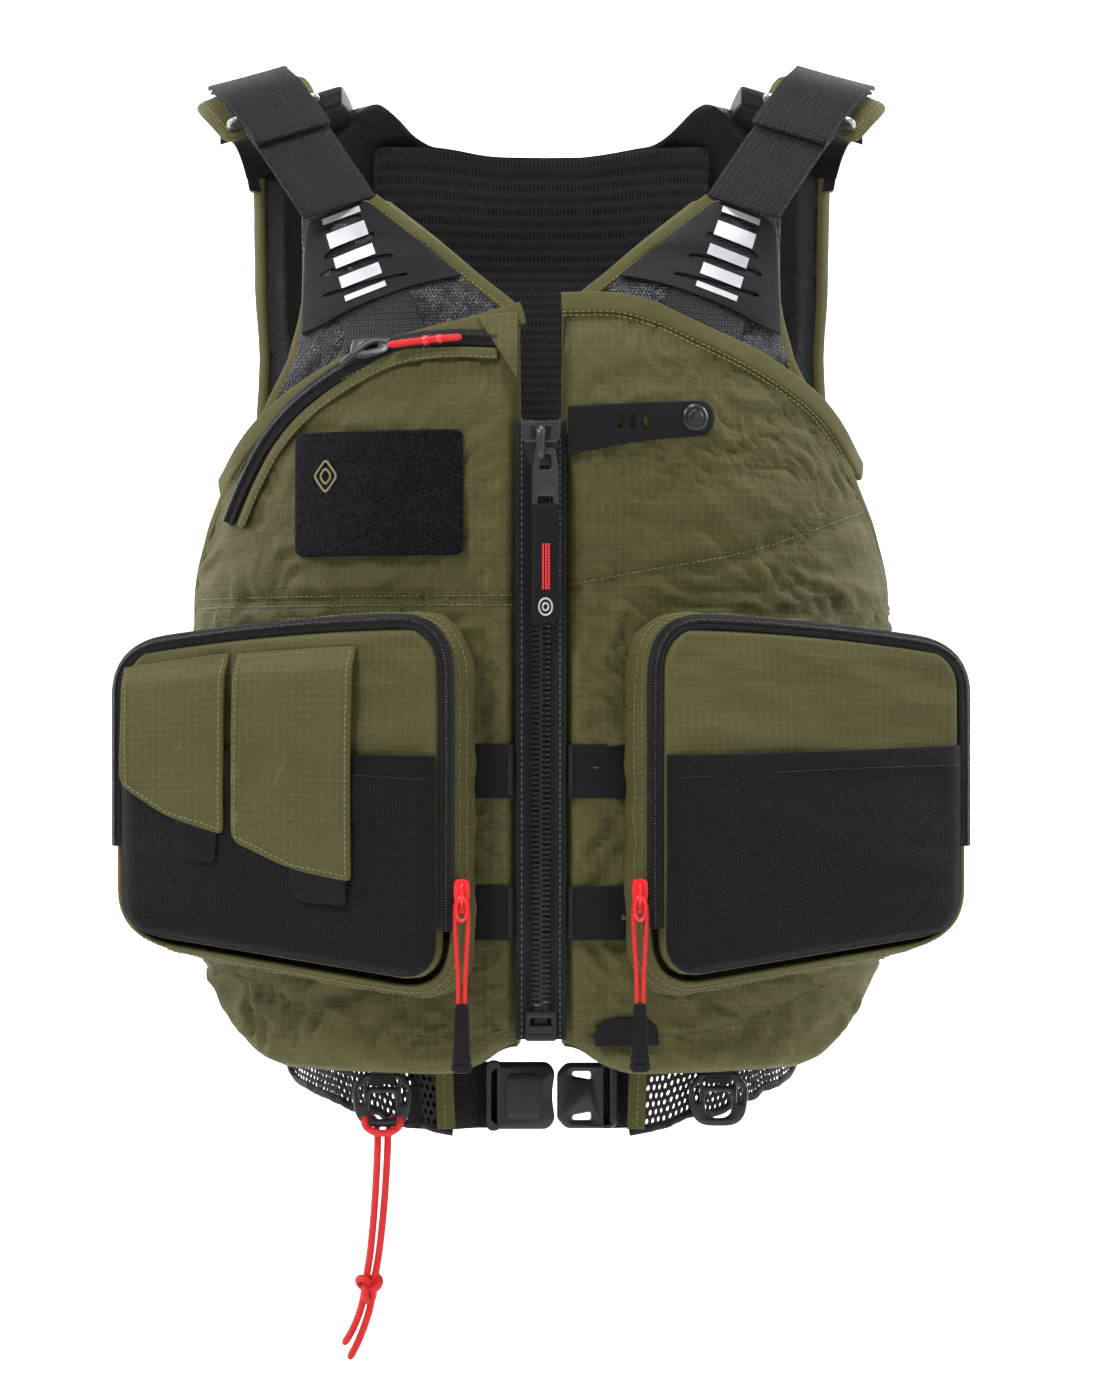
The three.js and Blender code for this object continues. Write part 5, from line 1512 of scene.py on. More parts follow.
def build_grip(side_name):
    (x, y, z), _ = box_middle(f"pull_grip_{side_name}")
    outline = [(-3.4, 19), (3.4, 19), (4.6, -6), (4.8, -19), (-4.8, -19), (-4.6, -6)]
    grip = plate(f"grip_{side_name}", smooth_loop(outline, 2.2), 6.2, finish("rubber"), bevel=1.5,
                 place=lambda p: np.stack([x + p[:, 0], y + 3.1 - p[:, 2], z + p[:, 1]], -1))
    collar = Cutting()
    for low, wide, deep in ((-12, 10.6, 7.2), (-16, 11.4, 7.8)):
        swept([(x, y, z + low - 1.6), (x, y, z + low + 1.6)], [(0, -1, 0)] * 2,
              oval(wide, deep, 16, 3.5), collar)
    ribs = collar.piece(f"grip_collar_{side_name}", finish("rubber"), sharp=40)
    for piece in (grip, ribs):
        settle(piece, f"pocket_pull_{side_name}", "rubber")
    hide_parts(f"pull_grip_{side_name}")


def build_pockets():
    for side_name, side in SIDES:
        build_gusset(side_name, side)
        build_pocket_zip(side_name, side)
        build_door(side_name, side)
    build_flaps()
    build_pocket_sliders()


# ---- cords --------------------------------------------------------------------------------------
LANYARD_THICK = 4.2
LANYARD = {"a": [(-92.8, -98, -602), (-92.9, -98.4, -612), (-93.4, -98.8, -625), (-94.2, -99, -640),
                 (-95.4, -99, -656), (-97, -98.6, -672), (-98.8, -98.2, -684), (-100.1, -98, -692),
                 (-101.3, -98, -700), (-103.6, -98, -708), (-107.4, -98, -717),
                 (-112.2, -98, -725)], "b": [(-87, -98, -602), (-87.2, -98, -612),
                                             (-87.8, -97.8, -625), (-88.8, -97.6, -640),
                                             (-90.2, -97.6, -656), (-92, -97.8, -672),
                                             (-94, -98, -684), (-95.3, -98, -692),
                                             (-96.4, -98, -700), (-98.6, -98, -709),
                                             (-103.4, -98.4, -722), (-109, -99, -733)],}


def path_length(path):
    return float(np.linalg.norm(np.diff(path, axis=0), axis=1).sum()) * MM


def build_cords():
    knot_route = []
    for t in np.linspace(0, 2 * math.pi, 90):
        x, y = math.sin(t) + 1.5 * math.sin(2 * t), math.cos(t) - 1.5 * math.cos(2 * t)
        knot_route.append((-97.7 + 2.7 * x, -98 - 3.4 * math.sin(3 * t), -692 + 3.3 * y))
    knot, _ = tube(knot_route, LANYARD_THICK, 12, 1.0, ends=False)
    knot = sew(knot, "lanyard_knot_cord", "cord", "ring_right", "red_cord", "lanyard_knot")
    hitch = Cutting()
    for route in ([(-92.6, -98.2, -605), (-95.6, -100.6, -603.5), (-99.4, -101.6, -600.5),
                   (-100.2, -99.8, -596.8),
                   (-97.6, -96.4, -595.2), (-94.4, -95.2, -598.5), (-93.0, -96.4, -603)],
                  [(-87.2, -98.2, -605), (-84.2, -100.6, -603.5), (-80.6, -101.6, -600.5),
                   (-79.9, -99.8, -596.8),
                   (-82.4, -96.4, -595.2), (-85.6, -95.2, -598.5), (-86.8, -96.4, -603)],
                  [(-97.8, -102.4, -602.4), (-94, -104, -603.6), (-90, -104.4, -604.2),
                   (-86, -104, -603.6), (-82.2, -102.4, -602.4)]):
        tube(route, LANYARD_THICK, 12, 0.9, (0.1, -1, 0.3), hitch)
    sew(hitch, "lanyard_hitch", "cord", "ring_right", "red_cord")
    for name, route in LANYARD.items():
        cord, path = tube(route, LANYARD_THICK)
        piece = sew(cord, f"lanyard_cord_{name}", "cord", "ring_right", "red_cord",
                    f"lanyard_leg_{name}")
        np.array(route[0]) * MM
        round(path_length(path), 3)
    for side_name, _ in SIDES:
        build_pull_cord(side_name)


def build_pull_cord(side_name):
    middle, size = box_middle(f"pull_cord_{side_name}")
    grip = box_middle(f"pull_grip_{side_name}")[0]
    x, y = middle[:2]
    eye_z = middle[2] + size[2] / 2 - 1.7
    drop, half = grip[2] + 19.3, 3.4
    left = [(x - 1.6, drop - 4), (x - 1.9, drop + 12), (x - 2.6, drop + 26), (x - half, drop + 40),
            (x - half, eye_z - 6), (x - half * 0.8, eye_z - 1.5)]
    right = [(2 * x - a, b) for a, b in left[::-1]]
    route = [(a, y, b) for a, b in [*left, (x, eye_z + 0.4), *right]]
    cord, path = tube(route, 2.6, 10, 1.0)
    piece = sew(cord, f"zip_cord_{side_name}", "cord", f"pocket_pull_{side_name}", "red_cord",
                f"pull_cord_{side_name}")
    np.array(route[0]) * MM
    round(path_length(path), 3)


# ---- chest --------------------------------------------------------------------------------------
CHEST_ZIP = [(-24, -157), (-54, -156), (-84, -160), (-112, -173), (-137, -190), (-156, -210),
             (-170, -234), (-180, -256)]
YOKE = [(136, -84, 4), (112, -70, 6), (99, -72, 4), (44, -119, 3), (67, -123, 8), (86, -129, 8),
        (109, -138, 8), (124, -146, 6), (137, -151, 2)]
YOKE_SLOTS = [(113, -84.6, 21, 23, 2.4), (109.5, -99, 32, 25, 2.7), (105, -111, 43, 14, 2.4),
              (99.8, -123, 50, 13.4, 1.5)]
REFLECTOR = ((127.0, -80.3), (110.6, -133.3), (105.5, -72.5), (87.2, -124.8))
REFLECTOR_PARTS = ((0.03, 0.1), (0.21, 0.38), (0.49, 0.61), (0.71, 0.84), (0.93, 0.99))


def slot_outline(x, z, length, degrees, half):
    """A tapered slot, widest near its middle, rising towards the neck."""
    angle = math.radians(degrees)
    along = np.array([-math.cos(angle), math.sin(angle)])
    up = np.array([math.sin(angle), math.cos(angle)])
    a = np.linspace(0, 2 * math.pi, 26, endpoint=False)
    thick = half * np.sign(np.sin(a)) * np.abs(np.sin(a)) ** 0.7
    return np.array([x, z]) + np.outer(np.cos(a) * length / 2, along) + np.outer(thick, up)


def fitted(name, outline, thickness, finish_name, side=1, lift=1.0, holes=(), bevel=0.5, finest=5.0,
           sharp=50):
    """A plate laid on the front; its outline is drawn for the wearer's left in x and z."""
    flip = np.array([side, 1, 1])
    return plate(name, outline, thickness, finish(finish_name), holes, bevel,
                 lambda p: front_at(p[:, 0], p[:, 1], p[:, 2] + lift) * flip, finest, sharp)


def build_yokes():
    for side_name, side in SIDES:
        body = f"front_{side_name}"
        yoke = fitted(f"rubber_yoke_{side_name}_moulded", smooth_loop(YOKE, 4), 2.6, "rubber", side,
                      0.5, [slot_outline(*slot) for slot in YOKE_SLOTS], 0.7, 4.0)
        settle(yoke, body, "rubber", f"rubber_yoke_{side_name}")
        strips = Cutting()
        outer_top, outer_low, inner_top, inner_low = (np.array(corner, float)
                                                      for corner in REFLECTOR)
        for start, end in REFLECTOR_PARTS:
            r, c = np.meshgrid(np.linspace(start, end, 5), np.linspace(0, 1, 9), indexing="ij")
            r, c = r.ravel()[:, None], c.ravel()[:, None]
            plan = mix(mix(outer_top, outer_low, r), mix(inner_top, inner_low, r), c)
            top = front_at(plan[:, 0], plan[:, 1], 3.5) * (side, 1, 1)
            low = front_at(plan[:, 0], plan[:, 1], 2.9) * (side, 1, 1)
            rim = rim_ids(4, 8)
            after = np.roll(rim, -1)
            faces = grid_faces(4, 8)
            walls = np.stack([rim, after, after + 45, rim + 45], -1)
            strips.add(np.vstack([top, low]), np.vstack([faces, faces[:, ::-1] + 45, walls]))
        settle(strips.piece(f"reflector_{side_name}", finish("reflector"), sharp=40), body,
               "grey_plastic")
        low = [(112, -156), (68, -136)] if side > 0 else [(107, -162), (64, -150)]
        web = fitted(f"yoke_webbing_{side_name}", smooth_loop([(99, -76), (134, -92), *low], 1.5),
                     4.6, "webbing", side, -3.0, bevel=0.6, finest=4.0)
        settle(web, body, "webbing")


def build_chest_pocket():
    route = resample(CHEST_ZIP, 2.5)
    points, normals = along_front(route, 1.2)
    band = swept(points, normals, oval(11.0, 3.0, 14, 3.0))
    swept(points + normals * 1.6, normals, oval(4.0, 1.6, 8, 2.0), band)
    sew(band, "chest_zip_band", "tape", "front_right", "black_plastic", "chest_zip")
    coil = stitched(points + normals * 2.1, normals, None, pitch=1.5, length=0.95, width=2.6)
    sew(coil, "chest_zip_coil", "teeth", "front_right", "black_plastic")
    tangent = unit(np.gradient(route, axis=0))
    down = np.stack([-tangent[:, 1], tangent[:, 0]], -1)
    below = route + down * 8.6
    flap = swept(*along_front(below, 0.9), oval(6.5, 2.6, 12, 3.0))
    sew(flap, "chest_zip_welt", "olive", "front_right", "olive_fabric")
    thread = front_stitches(below + down * 2.0, lift=2.0)
    sew(thread, "chest_zip_stitching", "thread", "front_right", "olive_fabric")
    fold = fitted("zip_garage", smooth_loop([(13, -141, 2), (36, -144, 2), (13, -181, 3)], 2), 3.0,
                  "olive", -1, 1.2, bevel=1.2)
    settle(fold, "front_right", "olive_fabric")
    edge = front_stitches([(-15.6, -146), (-15.6, -175)], lift=3.9)
    sew(edge, "garage_stitching", "dark thread", "front_right", "olive_fabric")


def build_chest_slider():
    def place(p):
        return front_at(p[:, 0], p[:, 1], p[:, 2] + 3.6)

    shell = plate("chest_slider_shell", smooth_loop([(-108, -166.5, 3), (-106, -155, 3),
                                                     (-85, -154.5, 3), (-85, -163.5, 3),
                                                     (-98, -167.5, 4)], 3), 3.0,
                  finish("grey plastic"),
                  [smooth_loop([(-101, -158, 2), (-92, -157.4, 2), (-91, -161, 2),
                                (-100, -162.4, 2)], 1.5)], 0.8, place, 4.0)
    settle(shell, "chest_slider", "grey_plastic", "chest_slider")
    bar = [(-112, -170), (-104, -163), (-94, -157), (-84.5, -158)]
    points = place(np.array([(x, z, 3.2) for x, z in resample(bar, 1.5)]))
    arm = swept(points, front_normals(points), oval(3.6, 2.6, 10, 2.4))
    sew(arm, "chest_slider_arm", "grey plastic", "chest_slider", "grey_plastic")
    route = [(-85.5, -137.6, -160.4), (-79, -138.4, -159.6), (-72, -139.4, -158.8),
             (-65, -140.3, -158),
             (-58, -141.1, -157.3), (-51, -141.8, -156.8), (-44, -142.4, -156.4)]
    cord, path = tube(route, 4.0)
    sleeve, _ = tube([(-66.5, -140.1, -158.2), (-62, -140.7, -157.7)], 5.6, 14, 0.8, (0, -1, 0))
    tail, _ = tube([(-58.6, -141.1, -157.4), (-54, -141.6, -157.0)], 5.2, 14, 0.8, (0, -1, 0),
                   sleeve)
    knots = sew(tail, "chest_cord_sleeve", "red plastic", "chest_pull", "red_cord")
    piece = sew(cord, "chest_pull_cord", "cord", "chest_pull", "red_cord", "chest_cord")
    np.array(route[0]) * MM
    round(path_length(path), 3)


def build_patch_and_strap():
    outline = box_loop(43, -278, 139, -208, 6)

    def tufted(p):
        flat = np.stack([p[:, 0], p[:, 1], p[:, 2] * 0], -1)
        tufts = 0.45 * wave(flat, (2.4, 2.4, 1), 81.0, 2) * (p[:, 2] > 3)
        return front_at(p[:, 0], p[:, 1], p[:, 2] - 2.4 + tufts) * (-1, 1, 1)

    patch = plate("loop_panel", outline, 6.4, finish("pile"), (), 1.2, tufted, 1.5, 70)
    settle(patch, "front_right", "loop_pile", "loop_patch")
    motif = Cutting()
    x, z = -121, -233
    for size in (9.5, 5.0):
        wide = size * 0.7
        corners = smooth_loop([(x, z + size), (x + wide, z), (x, z - size), (x - wide, z)], 2.5)
        corners = np.vstack([corners, corners[:1]])
        swept(*along_front(corners, 4.2), oval(1.3, 1.0, 8, 2.0), motif)
    sew(motif, "patch_motif", "thread", "front_right", "loop_pile")
    strap = smooth_loop([(15, -195.5, 1), (60, -192.5, 20), (97, -191, 9.6), (97, -210.5, 9.6),
                         (60, -213.5, 20), (15, -222.5, 1)], 5, 8)
    slots = [smooth_loop([(x - 1.3, -208), (x + 1.3, -208), (x + 1.5, -200), (x - 1.1, -200)], 1.0)
             for x in (44, 51, 58)]
    piece = fitted("snap_strap_moulded", strap, 2.6, "rubber", 1, 1.3, slots, 0.6, 5.0)
    settle(piece, "snap_strap", "rubber", "snap_strap")
    centre = front_at(np.array([86.0]), np.array([-201.0]), 3.6)
    normal = front_normals(centre)[0]
    across = unit(np.cross([0, 0, 1], normal))
    up = np.cross(normal, across)

    def place(p):
        return centre + p[:, :1] * across + p[:, 1:2] * up + p[:, 2:] * normal

    cap = turned("snap_cap", [(0.4, 0), (7.6, 0), (7.9, 0.5), (7.4, 1.4), (5.8, 2.2), (5.2, 2.3),
                              (4.9, 1.9), (4.4, 1.9),
                              (3.8, 2.5), (2.0, 2.9), (0.3, 3.0)], "plastic", place, 28)
    settle(cap, "snap_strap", "black_plastic")


def build_tabs():
    for side_name, side in SIDES:
        body = f"front_{side_name}"
        for level, low in (("upper", -413), ("lower", -492)):
            outline = smooth_loop([(15, low, 1.5), (58, low, 1), (58, low + 30, 1),
                                   (15, low + 30, 1.5)], 1)
            tab = fitted(f"lash_{level}_{side_name}", outline, 5.4, "rubber", side, -2.2, bevel=0.6,
                         finest=5.0)
            settle(tab, body, "rubber", f"lash_tab_{level}_{side_name}")
            path = mirrored(resample([(17.0, low + 2), (17.0, low + 28)], 2.0), side)
            tacks = stitched(*along_front(path, 3.4), None, pitch=1.4, length=0.8, width=1.8)
            sew(tacks, f"lash_{level}_tack_{side_name}", "black thread", body, "rubber")
    stub = fitted("hem_tab", smooth_loop([(30, -551, 1), (66, -551, 1), (65, -540, 7),
                                          (58, -535, 8), (38, -535, 8), (31, -540, 7)], 4),
                  5.4, "rubber", 1, -2.6, bevel=0.8, finest=5.0)
    settle(stub, "front_left", "rubber")


def build_fittings():
    build_yokes()
    build_chest_pocket()
    build_chest_slider()
    build_patch_and_strap()
    build_tabs()


# ---- front zip ----------------------------------------------------------------------------------
TOOTH_PITCH = 2.85                           # the pitch at which a tooth has its drawn height


def build_zip_half(side_name, side):
    body, pitch = f"front_{side_name}", bpy.context.scene.vest_sizes.tooth_pitch / MM
    scale = pitch / TOOTH_PITCH
    head = np.array([(5.0, -0.8), (5.0, 0.8), (1.5, 0.8), (0.7, 1.2), (-1.0, 0.75), (-1.0, -0.75),
                     (0.7, -1.2), (1.5, -0.8)]) * (1, scale)
    middle = head.mean(0)
    layers = [(0.72, ZIP_FACE - 0.2), (1.0, ZIP_FACE + 0.5), (1.0, ZIP_FACE + 4.4)]
    shape = np.vstack([np.stack([(middle + (head - middle) * size)[:, 0] * side, np.full(8, y),
                                 (middle + (head - middle) * size)[:, 1]], -1) for size,
                       y in layers])
    starts = np.arange(ZIP_BOTTOM + 20 + (pitch / 2 if side > 0 else 0), ZIP_TOP - 14, pitch)
    places = shape[None] + np.stack([np.zeros_like(starts), np.zeros_like(starts), starts],
                                    -1)[:, None]
    walls = tube_faces(3, 8)[1]
    caps = np.array([[0, 1, 2, 7], [2, 3, 6, 7], [3, 4, 5, 6]])
    one = np.vstack([walls, caps, caps[:, ::-1] + 16])
    teeth = Cutting().add(places.reshape(-1, 3), repeated(one, len(shape), len(starts)))
    teeth = teeth.piece(f"zip_teeth_{side_name}", finish("teeth"), sharp=50)
    settle(teeth, body, "black_plastic", f"zip_half_{side_name}")
    z = np.linspace(ZIP_BOTTOM, ZIP_TOP + 3, 100)
    line = np.stack([np.full_like(z, 9.0 * side), np.full_like(z, ZIP_FACE + 3.4) + 0.25
                     * np.sin(z / 11), z], -1)
    front = np.broadcast_to([0, -1.0, 0], line.shape)
    tape = swept(line, front, strap_section(10.4, 1.5))
    swept(line + (-4.2 * side, 0.2, 0), front, oval(2.2, 4.4, 10, 2.4), tape)
    sew(tape, f"zip_tape_{side_name}", "tape", body, "black_nylon")
    thread = stitched(line + (1.6 * side, -0.7, 0), front, None, pitch=3.6, length=2.2, width=0.45)
    sew(thread, f"zip_stitching_{side_name}", "grey thread", body, "black_nylon")


def upright(x, y, z):
    """Places plan points standing in the XZ plane, their height towards the front."""
    return lambda p: np.stack([x + p[:, 0], y - p[:, 2], z + p[:, 1]], -1)


def build_main_zip():
    for side_name, side in SIDES:
        build_zip_half(side_name, side)
    box = plate("zip_box", box_loop(-8.6, -8.2, 8.6, 8.2, 1.6), 6.0, finish("plastic"),
                [box_loop(-5.6, 0, 5.6, 4.6, 0.8)], 0.9, upright(0, ZIP_FACE + 4.6, -539.4))
    ledge = plate("zip_box_ledge", box_loop(-7, -2, 7, 2, 0.8), 1.6, finish("plastic"), (), 0.5,
                  upright(0, ZIP_FACE - 0.8, -541))
    back = plate("zip_box_back", box_loop(-7, -6, 7, 6, 1), 1.2, finish("plastic"), (), 0.3,
                 upright(0, ZIP_FACE + 4.9, -538))
    for piece in (box, ledge, back):
        settle(piece, "front_left", "black_plastic")
    y = ZIP_FACE - 0.4
    shell = plate("zip_slider_shell", smooth_loop([(-9.6, 11, 4), (-3, 12.4, 3), (3, 12.4, 3),
                                                   (9.6, 11, 4), (9.8, 2, 4), (6.6, -11, 3),
                                                   (-6.6, -11, 3), (-9.8, 2, 4)], 3), 2.8,
                  finish("plastic"), (), 0.9, upright(0, y, -218))
    bridge, _ = tube([(0, y - 2, -208), (0, y - 5.4, -210), (0, y - 6.4, -216), (0, y - 5.6, -222),
                      (0, y - 2, -225)], 5.4, 12, 0.9, (1, 0, 0))
    cheeks = plate("zip_slider_rim", smooth_loop([(-11.4, 8, 3), (11.4, 8, 3), (10, -4, 3),
                                                  (-10, -4, 3)], 3), 2.2, finish("grey plastic"),
                   [smooth_loop([(-6, 5), (6, 5), (5, -2), (-5, -2)], 1.5)], 0.7,
                   upright(0, y - 1.2, -212))
    bridge = bridge.piece("zip_slider_bridge", finish("grey plastic"))
    for piece in (shell, bridge, cheeks):
        settle(piece, "main_slider", "black_plastic")
    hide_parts("main_slider")
    build_main_pull()


def build_main_pull():
    y = -158.4
    frame_plate = plate("zip_pull_frame", smooth_loop([(-5.6, 0, 3), (5.6, 0, 3), (7.4, -14, 4),
                                                       (7.4, -38, 2), (-7.4, -38, 2),
                                                       (-7.4, -14, 4)], 3), 3.0,
                        finish("grey plastic"),
                        [smooth_loop([(-3.3, -12), (3.3, -12), (2.9, -3.6), (-2.9, -3.6)], 1.2),
                         box_loop(-4.2, -34, 4.2, -27, 1.2)], 0.9, upright(2.5, y + 1.5, -219))
    settle(frame_plate, "main_pull", "grey_plastic", "main_pull_frame")
    tab = plate("zip_pull_tab", smooth_loop([(-7.6, -31, 1.5), (7.6, -31, 1.5), (8.2, -97, 4),
                                             (-8.2, -97, 4)], 3), 3.2, finish("rubber"), (),
                1.0, upright(2.5, y + 0.4, -219))
    settle(tab, "main_pull", "rubber", "main_pull_tab")
    tack = Cutting()
    for x in (1.2, 2.9, 4.4):
        stitched([(x, y - 2.9, -272), (x, y - 2.9, -298)], [(0, -1, 0)] * 2, tack, pitch=1.7,
                 length=1.9, width=1.3)
    sew(tack, "pull_tack", "red thread", "main_pull", "red_cord")
    rings = Cutting()
    for size in (4.6, 2.0):
        a = np.linspace(0, 2 * math.pi, 30)
        points = np.stack([2.6 + size * 0.8 * np.cos(a), np.full(30, y - 3.0),
                           -307 + size * np.sin(a)], -1)
        swept(points, np.broadcast_to([0, -1.0, 0], (30, 3)), oval(1.1, 0.7, 8, 2.0), rings)
    sew(rings, "pull_motif", "reflector", "main_pull", "rubber")


# ---- shoulder webbing ---------------------------------------------------------------------------
STRAP_ROUTE = [(116, -73, -76), (128, -61, -58), (143, -45, -35), (156, -31, -17), (166, -20, -3),
               (172, -7, 4), (174, 10, 7)]
STRAP_ACROSS, STRAP_LONG = unit(np.array([-0.875, 0.371, 0.312])), 130


def strap_frame(along):
    """The shoulder strap's middle, direction, width and outward lines; along is 0 at the yoke."""
    path = resample(STRAP_ROUTE, 1.0)
    forward = unit(np.gradient(path, axis=0))
    at = np.clip(np.asarray(along, float), 0, 1) * (len(path) - 1)
    read = lambda table: np.stack([np.interp(at, np.arange(len(path)), table[:, k])
                                   for k in range(3)], -1)
    middle, forward = read(path), unit(read(forward))
    width = unit(STRAP_ACROSS - (forward @ STRAP_ACROSS)[:, None] * forward)
    out = unit(np.cross(forward, width))
    out = np.where(out[:, 1:2] > 0, -out, out)
    return middle, forward, width, out


def build_straps():
    for side_name, side in SIDES:
        flip, front = np.array([side, 1, 1]), f"front_{side_name}"
        along = np.linspace(0, 1, 50)
        middle, _, _, out = strap_frame(along)
        dip = np.where(along < 0.12, (0.12 - along) / 0.12, 0)[:, None]
        points = middle + out * (1.6 - 1.0 * dip)
        under = swept(points * flip, out * flip,
                      strap_section(47, 2.0)).piece(f"shoulder_webbing_{side_name}",
                                                    finish("webbing"))
        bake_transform(under)
        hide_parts(f"shoulder_strap_{side_name}")
        turns = [(1.0, 4.4), (0.9, 4.8), (0.8, 5.2), (0.7, 6.4), (0.6, 6.6), (0.52, 6.6),
                 (0.46, 6.4), (0.435, 5.4), (0.45, 4.3), (0.5, 4.0), (0.58, 4.0)]
        turns = resample(np.array(turns) * (STRAP_LONG, 1), 2.0) / (STRAP_LONG, 1)
        middle, _, width, out = strap_frame(turns[:, 0])
        points = middle + out * turns[:, 1:]
        tangent = unit(np.gradient(points, axis=0))
        normal = unit(np.cross(tangent, width))
        normal = normal * np.sign((normal[0] @ out[0]))
        fold = swept(points * flip, normal * flip,
                     strap_section(49, 2.2)).piece(f"strap_fold_{side_name}", finish("webbing"))
        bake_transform(fold)
        build_strap_loop(side_name, side)
        build_shoulder_tab(side_name, side)


def build_strap_loop(side_name, side):
    middle, forward, width, out = (each[0] for each in strap_frame([0.62]))
    half, high = 28.5, 3.2
    corners = box_loop(-half, -high, half, high, 5, 6)
    corners = np.vstack([corners, corners[:2]])
    points = middle + out * 1.4 + corners[:, :1] * width + corners[:, 1:] * out
    ring = swept(points * (side, 1, 1), np.broadcast_to(forward * (side, 1, 1), points.shape),
                 oval(3.8, 3.2, 12, 2.2))
    sew(ring, f"strap_ring_{side_name}", "steel", f"front_{side_name}", "buckle_metal",
        f"strap_loop_{side_name}")


def build_shoulder_tab(side_name, side):
    """The olive end of the back yoke, which shows past both edges of the webbing."""
    def place(p):
        middle, _, width, out = strap_frame(0.66 + p[:, 1] / STRAP_LONG)
        bend = -0.0035 * p[:, 0] ** 2
        return (middle + width * p[:, :1] + out * (p[:, 2:] - 4.6 + bend[:, None])) * (side, 1, 1)

    outline = smooth_loop([(-33, -12, 9), (33, -4, 9), (36, 24, 10), (30, 44, 8), (-30, 44, 8),
                           (-36, 20, 10)], 9, 7)
    tab = plate(f"shoulder_tab_{side_name}", outline, 5.0, finish("olive"), (), 2.2, place, 5.0, 60)
    settle(tab, "back", "olive_fabric")
    line = np.array([(x * 0.88, y * 0.88 + 2, 5.4) for x, y in np.vstack([outline, outline[:1]])])
    points = place(resample(line, 2.0, curved=False))
    out = strap_frame(np.full(len(points), 0.8))[-1]
    threads = stitched(points, out * (side, 1, 1))
    sew(threads, f"tab_stitching_{side_name}", "thread", "back", "olive_fabric")


# ---- waist --------------------------------------------------------------------------------------
BUCKLE_Z, BUCKLE_Y = -584.0, -98.0
WING_TOP, WING_TURN = -486, math.radians(89.6)
RING_AXIS, RING_BEND = -572.0, 4.3           # height of a ring's bar and radius of the web round it


def wing_place(turn, z, extra):
    lift = mix(FRONT_THICK + 3, FRONT_THICK + 0.8, smooth(turn, math.radians(55), math.radians(76)))
    return on_front(turn, z, -(lift + extra))


def wing_low(turn, first):
    return np.interp(np.degrees(turn), [math.degrees(first), 35, 55, 72, 90],
                     [-604, -598, -588, -578, -556])


def build_wings():
    first = math.asin(52 / (front_half(-560.0) - FRONT_THICK - 3))
    rows, columns = ((40, 110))
    for side_name, side in SIDES:
        flip = np.array([side, 1, 1])

        def sheet(extra):
            def place(r, c):
                turn = mix(first, WING_TURN, c)
                z = mix(WING_TOP, wing_low(turn, first), r)
                spots = spots_at(170 * turn, z)
                ripple = wave(spots, (22, 1, 60), 71.0 + side,
                              3) * 3.2 * smooth(r, 0.3, 1.0) * smooth(c, 0.03, 0.14)
                tuck = 3.0 * smooth(r, 0.45, 0.8) * smooth(c, 0.05, 0.13)
                return wing_place(turn, z + ripple * 0.9, extra + tuck + np.abs(ripple)
                                  * 0.6) * flip
            return place

        wing = stuffed(rows, columns, sheet(0), sheet(1.4), [], lambda r, c: np.stack(
            [c * 230, -r * 110], -1), 0).piece(f"waist_mesh_{side_name}", finish("open mesh"))
        settle(wing, "back", "black_mesh", f"waist_wing_{side_name}")
        turn = np.linspace(first, math.radians(89), 90)
        c = (turn - first) / (WING_TURN - first)
        low = sheet(0.7)(np.ones(90), c) / flip
        trim = swept(low * flip, unit(low * (1, 1, 0)) * flip, oval(4.2, 3.2, 10, 2.4))
        sew(trim, f"waist_edge_{side_name}", "nylon", "back", "black_nylon")
        z = np.linspace(-560, -602, 30)
        points = wing_place(np.full(30, first + 0.02), z, -1.2)
        strip = swept(points * flip, front_normals(points) * flip, oval(10.5, 2.6, 14, 3.0))
        sew(strip, f"waist_binding_{side_name}", "binding", "back", "olive_fabric")
        thread = stitched((points + front_normals(points) * 1.4) * flip, front_normals(points)
                          * flip)
        sew(thread, f"waist_stitching_{side_name}", "thread", "back", "olive_fabric")


def build_ring(side_name):
    low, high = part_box(f"lash_ring_{side_name}")
    x, y = (low.x + high.x) / 2 / MM, (low.y + high.y) / 2 / MM
    top = high.z / MM
    outline = smooth_loop([(-17.6, -9, 6), (-10.5, 0, 3), (10.5, 0, 3), (17.6, -9, 6),
                           (14.6, -31, 14), (-14.6, -31, 14)], 5, 7)
    holes = [box_loop(-8.5, -3.5, 8.5, -8.3, 1.4),
             smooth_loop([(-7.4, -11.6, 3), (7.4, -11.6, 3), (7.6, -26.6, 7), (-7.6, -26.6, 7)], 4,
                         6),
             smooth_loop([(-14.0, -9.6), (-10.8, -6.4), (-10.4, -17.5), (-12.6, -17.5)], 1.2),
             smooth_loop([(14.0, -9.6), (10.8, -6.4), (10.4, -17.5), (12.6, -17.5)], 1.2)]
    ring = plate(f"lash_ring_{side_name}_moulded", outline, 4.6, finish("plastic"), holes, 1.3,
                 upright(x, y + 2.3, top))
    settle(ring, f"ring_{side_name}", "black_plastic", f"lash_ring_{side_name}")
    bend = [(RING_BEND * math.sin(a), -RING_BEND * math.cos(a))
            for a in np.linspace(-math.pi / 2, math.pi / 2, 14)]
    path = np.array([(x, y - RING_BEND, RING_AXIS + 9), *((x, y + a, RING_AXIS + b) for a,
                                                          b in bend),
                     (x, y + RING_BEND, RING_AXIS + 9)])
    normals = unit(path - (x, y, RING_AXIS + 2))
    web = swept(path, normals, strap_section(14, 1.7))
    sew(web, f"ring_webbing_{side_name}", "webbing", f"front_{side_name}", "webbing",
        f"ring_web_{side_name}")


